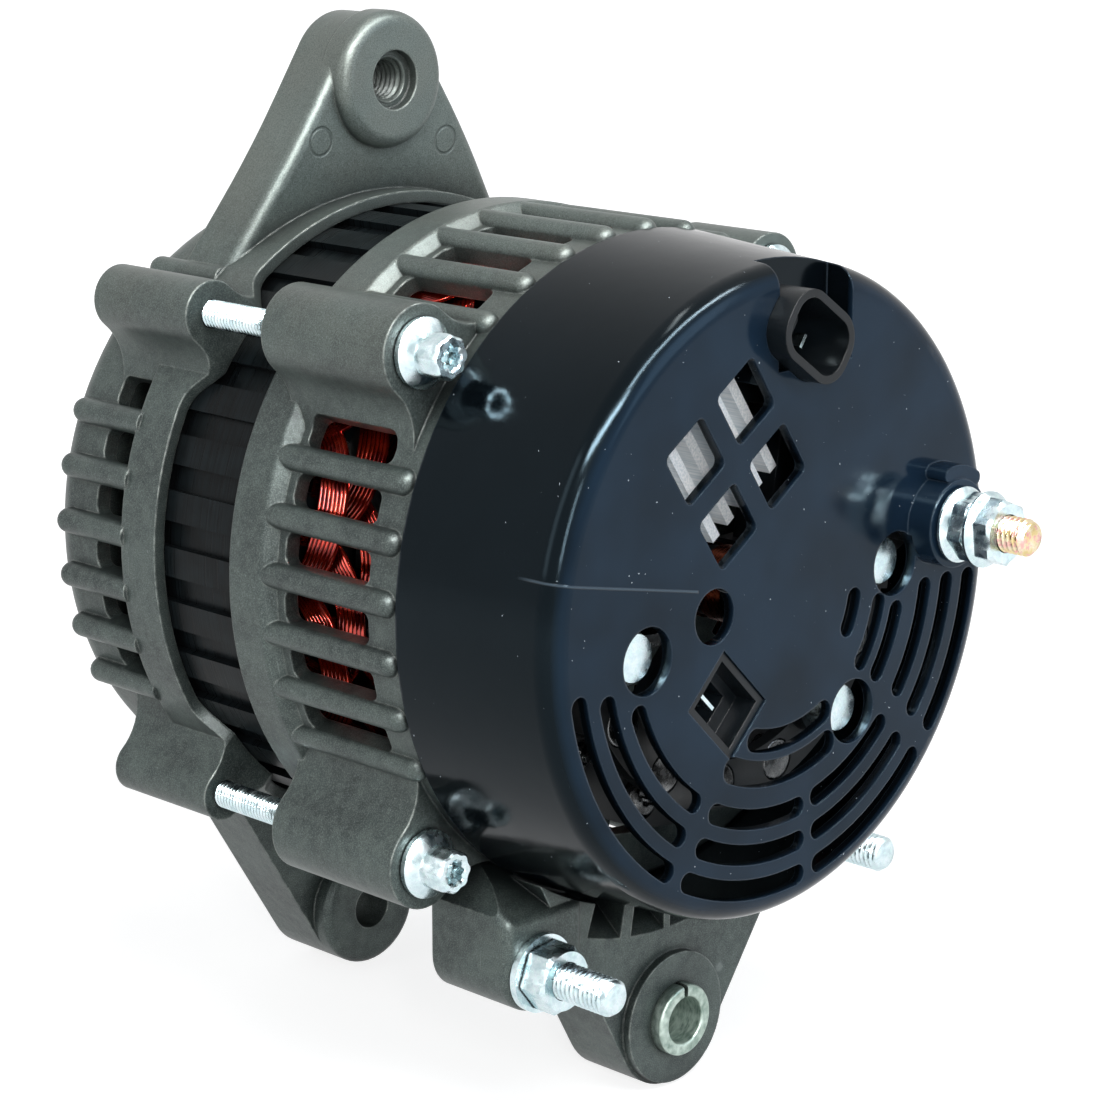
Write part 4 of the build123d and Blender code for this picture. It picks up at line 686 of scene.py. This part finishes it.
def end_turns(start, end):
    """The layers of bundles round one end of the core."""
    paths = []
    for slot in range(SLOTS):
        layer = slot % LAYERS
        reach = (end - start) * (0.66 + 0.17 * layer)
        reach -= math.copysign(WIRE, reach)
        radius = WINDING_RADIUS - WIRE - 0.1 * MM - layer * LAYER_STEP
        paths += bundle(slot * SLOT_PITCH, start, reach, radius, (2.0 + layer) * MM)
    return paths


winding = wires("stator_end_turns", end_turns(CORE_START, WINDING_LOW.y) + end_turns(CORE_END, WINDING_HIGH.y),
                WIRE, FINISHES["winding_red"], sides=1)
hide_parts("stator_winding")
print("winding faces", len(winding.data.polygons))

# %% [markdown]
# ## Through bolts
# Each is a rolled bolt with a flange that fades into an outside-lobed head with a star recess, and a thread that
# shows between the frames. One blank is spun and then pressed by angle, as the real one is upset and rolled.

# %% Bolts with lobed heads
BOLT_FLANGE = 7.2 * MM
BOLT_HEAD = 4.7 * MM
LOBE_DEPTH = 0.42 * MM
BOLT_HEAD_HEIGHT = 9.0 * MM
BOLT_SHANK = 3.0 * MM
BOLT_PITCH = 1.0 * MM
LOBES = 8
CUTS_PER_PITCH = 8


def pressed_bolt(seat, end):
    """The profile of a through bolt from its tip to its recess, and the shape that presses and threads it."""
    top = seat - BOLT_HEAD_HEIGHT
    thread_start, thread_end = CORE_START - 4 * MM, CORE_END + 4 * MM
    count = int((thread_end - thread_start) / BOLT_PITCH * CUTS_PER_PITCH)
    rolled = [(BOLT_SHANK, thread_end + (thread_start - thread_end) * step / count) for step in range(count + 1)]
    profile = [(0.0, end), (BOLT_SHANK - 0.5 * MM, end), (BOLT_SHANK, end - 0.5 * MM), *rolled, (BOLT_SHANK, seat),
               (BOLT_FLANGE - 0.3 * MM, seat), (BOLT_FLANGE, seat - 0.3 * MM), (BOLT_FLANGE, seat - 1.4 * MM),
               (BOLT_FLANGE - 0.4 * MM, seat - 1.8 * MM), (5.7 * MM, seat - 2.7 * MM), (BOLT_HEAD, seat - 3.2 * MM),
               (BOLT_HEAD, seat - 3.8 * MM), (BOLT_HEAD, top + 0.9 * MM), (BOLT_HEAD - 0.2 * MM, top + 0.3 * MM),
               (BOLT_HEAD - 0.6 * MM, top), (2.9 * MM, top), (2.7 * MM, top + 0.3 * MM), (2.6 * MM, top + 3.2 * MM),
               (0.0, top + 3.8 * MM)]
    roll = thread(BOLT_SHANK, BOLT_PITCH, 0.55 * MM, thread_start, thread_end)

    def shape(radius, y, angle):
        if y > seat + 0.1 * MM:
            return roll(radius, y, angle)
        lobe = 0.5 - 0.5 * math.cos(LOBES * angle)
        if y < seat - 2.9 * MM and radius > 3.3 * MM:
            return radius - LOBE_DEPTH * lobe * min(1.0, (seat - 2.9 * MM - y) / (0.9 * MM))
        if radius < 2.8 * MM and y < seat:
            return radius - 0.65 * MM * lobe * min(1.0, radius / (2 * MM))
        return radius
    return profile, shape


bm = bmesh.new()
for low, high in solids_of("through_bolts"):
    profile, shape = pressed_bolt(low.y + BOLT_HEAD_HEIGHT, high.y)
    lathe(bm, profile, (low + high) / 2, shape, steps=48)
bolts = finish_mesh(bm, "through_bolts_pressed", FINISHES["zinc"], sharp=32.0)
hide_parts("through_bolts")
print("bolt faces", len(bolts.data.polygons))

# %% [markdown]
# ## Studs, nuts and the cover's bolts
# A rolled thread, chamfered ends, and hexagons whose corners are cut back by the usual thirty-degree chamfer: a
# round blank with a chamfer, trimmed flat on six sides, gives the real curved edges.

# %% Studs
STUD_PITCH = 1.25 * MM


def threaded_stud(name, node, radius, exposed, slot, head_flats=0.0, head_height=0.0):
    """A stud threaded over its exposed length from the free end, with a hexagon head inside where it has one."""
    low, high = (Vector(corner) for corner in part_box(node))
    start, end = low.y, high.y - head_height
    count = int(exposed / STUD_PITCH * 8)
    side = [(radius, start + 0.9 * MM + (exposed - 0.9 * MM) * step / count) for step in range(count + 1)]
    profile = [(0.0, start), (radius - 0.9 * MM, start), (radius - 0.75 * MM, start + 0.1 * MM), *side]
    cut = thread(radius, STUD_PITCH, 0.62 * MM, start, start + exposed)
    trim = hexagon(head_flats) if head_flats else None
    if head_flats:
        corner = head_flats / 2 / math.cos(math.pi / 6)
        profile += [(radius, end), (corner - 0.6 * MM, end), (corner, end + 0.4 * MM), (corner, high.y - 0.4 * MM),
                    (corner - 0.6 * MM, high.y), (0.0, high.y)]
    else:
        profile += [(radius, end - 0.4 * MM), (radius - 0.4 * MM, end), (0.0, end)]

    def shape(blank, y, angle):
        if trim and y > end - 0.1 * MM and blank > radius + 0.2 * MM:
            return trim(blank, y, angle)
        return cut(blank, y, angle) if y < start + exposed else blank
    bm = bmesh.new()
    lathe(bm, profile, (low + high) / 2, shape, steps=48)
    stud = finish_mesh(bm, name, FINISHES[slot], sharp=38.0)
    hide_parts(node)
    return stud


threaded_stud("ground_stud_threaded", "ground_stud", 4.0 * MM, 23.0 * MM, "zinc")
threaded_stud("side_stud_threaded", "side_stud", 4.0 * MM, 20.0 * MM, "zinc")
threaded_stud("output_stud_threaded", "positive_stud", 4.0 * MM, 8.0 * MM, "yellow_zinc", 13.0 * MM, 4.5 * MM)

# %% Nuts and hexagon bolts
def nut_profile(flats, bore, seat, height, flange=0.0):
    """The blank of a nut from its seat outwards, with a bore, chamfers and, where it has one, a flange."""
    corner = flats / 2 / math.cos(math.pi / 6)
    rise = 2.1 * MM if flange else 0.0
    foot = [(flange - 0.3 * MM, seat), (flange, seat - 0.3 * MM), (flange, seat - 0.9 * MM),
            (flange - 0.35 * MM, seat - 1.3 * MM), (corner - 0.1 * MM, seat - rise)] if flange else \
        [(flats / 2 - 0.1 * MM, seat), (flats / 2 + 0.1 * MM, seat - 0.15 * MM), (corner, seat - 0.6 * MM)]
    top = seat - height
    return [(bore, seat), *foot, (corner, seat - rise - 0.2 * MM), (corner, top + 0.75 * MM),
            (flats / 2 - 0.15 * MM, top), (bore + 0.5 * MM, top), (bore, top + 0.45 * MM), (bore, seat)]


def hexagon_nut(name, node, flats, bore, turn, flange=0.0):
    """A chamfered nut in place of the CAD's plain one."""
    low, high = (Vector(corner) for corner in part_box(node))
    seat, height = high.y, high.y - low.y
    trim = hexagon(flats, math.radians(turn))
    rise = 1.6 * MM if flange else -1.0

    def shape(blank, y, angle):
        return trim(blank, y, angle) if y < seat - rise and blank > bore + 0.6 * MM else blank
    bm = bmesh.new()
    lathe(bm, nut_profile(flats, bore, seat, height, flange), (low + high) / 2, shape, steps=96)
    nut = finish_mesh(bm, name, FINISHES["zinc"], sharp=25.0)
    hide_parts(node)
    return nut


hexagon_nut("inner_nut_chamfered", "positive_inner_nut", 13.0 * MM, 3.65 * MM, 12 - 30, 8.2 * MM)
hexagon_nut("outer_nut_chamfered", "positive_outer_nut", 13.0 * MM, 3.65 * MM, 38 - 30, 8.2 * MM)
hexagon_nut("ground_nut_chamfered", "ground_nut", 13.0 * MM, 3.65 * MM, 8 - 30)

RECTIFIER_FLATS = 10.0 * MM
RECTIFIER_SHANK = 2.95 * MM
RECTIFIER_HEAD = 5.0 * MM
bm = bmesh.new()
for low, high in solids_of("rectifier_bolts"):
    seat, corner = low.y + RECTIFIER_HEAD, RECTIFIER_FLATS / 2 / math.cos(math.pi / 6)
    profile = [(0.0, low.y), (4.9 * MM, low.y), (corner, low.y + 0.6 * MM), (corner, seat - 0.3 * MM), (corner - 0.3 * MM, seat),
               (RECTIFIER_SHANK, seat), (RECTIFIER_SHANK, high.y - 0.5 * MM), (RECTIFIER_SHANK - 0.5 * MM, high.y),
               (0.0, high.y)]
    trim = hexagon(RECTIFIER_FLATS, math.radians(15 - 30))
    lathe(bm, profile, (low + high) / 2,
          lambda blank, y, angle: trim(blank, y, angle) if blank > 3.5 * MM else blank, steps=60)
heads = finish_mesh(bm, "rectifier_bolts_chamfered", FINISHES["zinc"], sharp=25.0)
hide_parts("rectifier_bolts")

# %% [markdown]
# ## Thread of the ear
# The tapped hole has a countersink, which the CAD model cuts, and a thread, which is a spun sleeve with the turns
# pressed inwards, thin enough to lie against the hole's wall.

# %% Tapped hole
EAR_HOLE = 5.0 * MM
EAR_PITCH = 1.5 * MM
EAR_HOLE_PLACE = Vector((0.0, 0.0, ROTOR_Z + 97.0 * MM))
EAR_THREAD_SPAN = (-30.2 * MM, -14.2 * MM)


def ear_thread():
    """A tapped sleeve in the ear's hole."""
    start, end = EAR_THREAD_SPAN
    count = int((end - start) / EAR_PITCH * 8)
    inside = [(EAR_HOLE - 0.02 * MM, start + (end - start) * step / count) for step in range(count + 1)]
    profile = [*inside, (EAR_HOLE + 0.3 * MM, end), (EAR_HOLE + 0.3 * MM, start), inside[0]]
    cut = thread(EAR_HOLE - 0.1 * MM, EAR_PITCH, 0.75 * MM, start, end)
    bm = bmesh.new()
    lathe(bm, profile, EAR_HOLE_PLACE, lambda blank, y, angle: cut(blank, y, angle) if blank < EAR_HOLE else blank,
          steps=48)
    piece = finish_mesh(bm, "ear_thread", FINISHES["cast_frame"], sharp=50.0)
    return piece


ear_thread()

# %% [markdown]
# ## Brush springs
# Each brush has a light compression spring, coiled along the box of its CAD node.

# %% Coiled springs
SPRING_TURNS = 7
SPRING_WIRE = 0.22 * MM
for number in (1, 2):
    node = "brush_spring_%d" % number
    low, high = (Vector(corner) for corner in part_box(node))
    heart, length = (low + high) / 2, high.x - low.x
    coil_radius = (high.z - low.z) / 2 - SPRING_WIRE
    steps = SPRING_TURNS * 16
    path = []
    for step in range(steps + 1):
        angle = FULL_TURN * SPRING_TURNS * step / steps
        x = low.x + SPRING_WIRE + (length - 2 * SPRING_WIRE) * step / steps
        path.append(Vector((x, heart.y + coil_radius * math.cos(angle), heart.z + coil_radius * math.sin(angle))))
    spring = wires(node + "_coil", [path], SPRING_WIRE, FINISHES["spring_steel"], sides=1)
    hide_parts(node)
    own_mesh(spring)
print("springs", SPRING_TURNS, "turns")
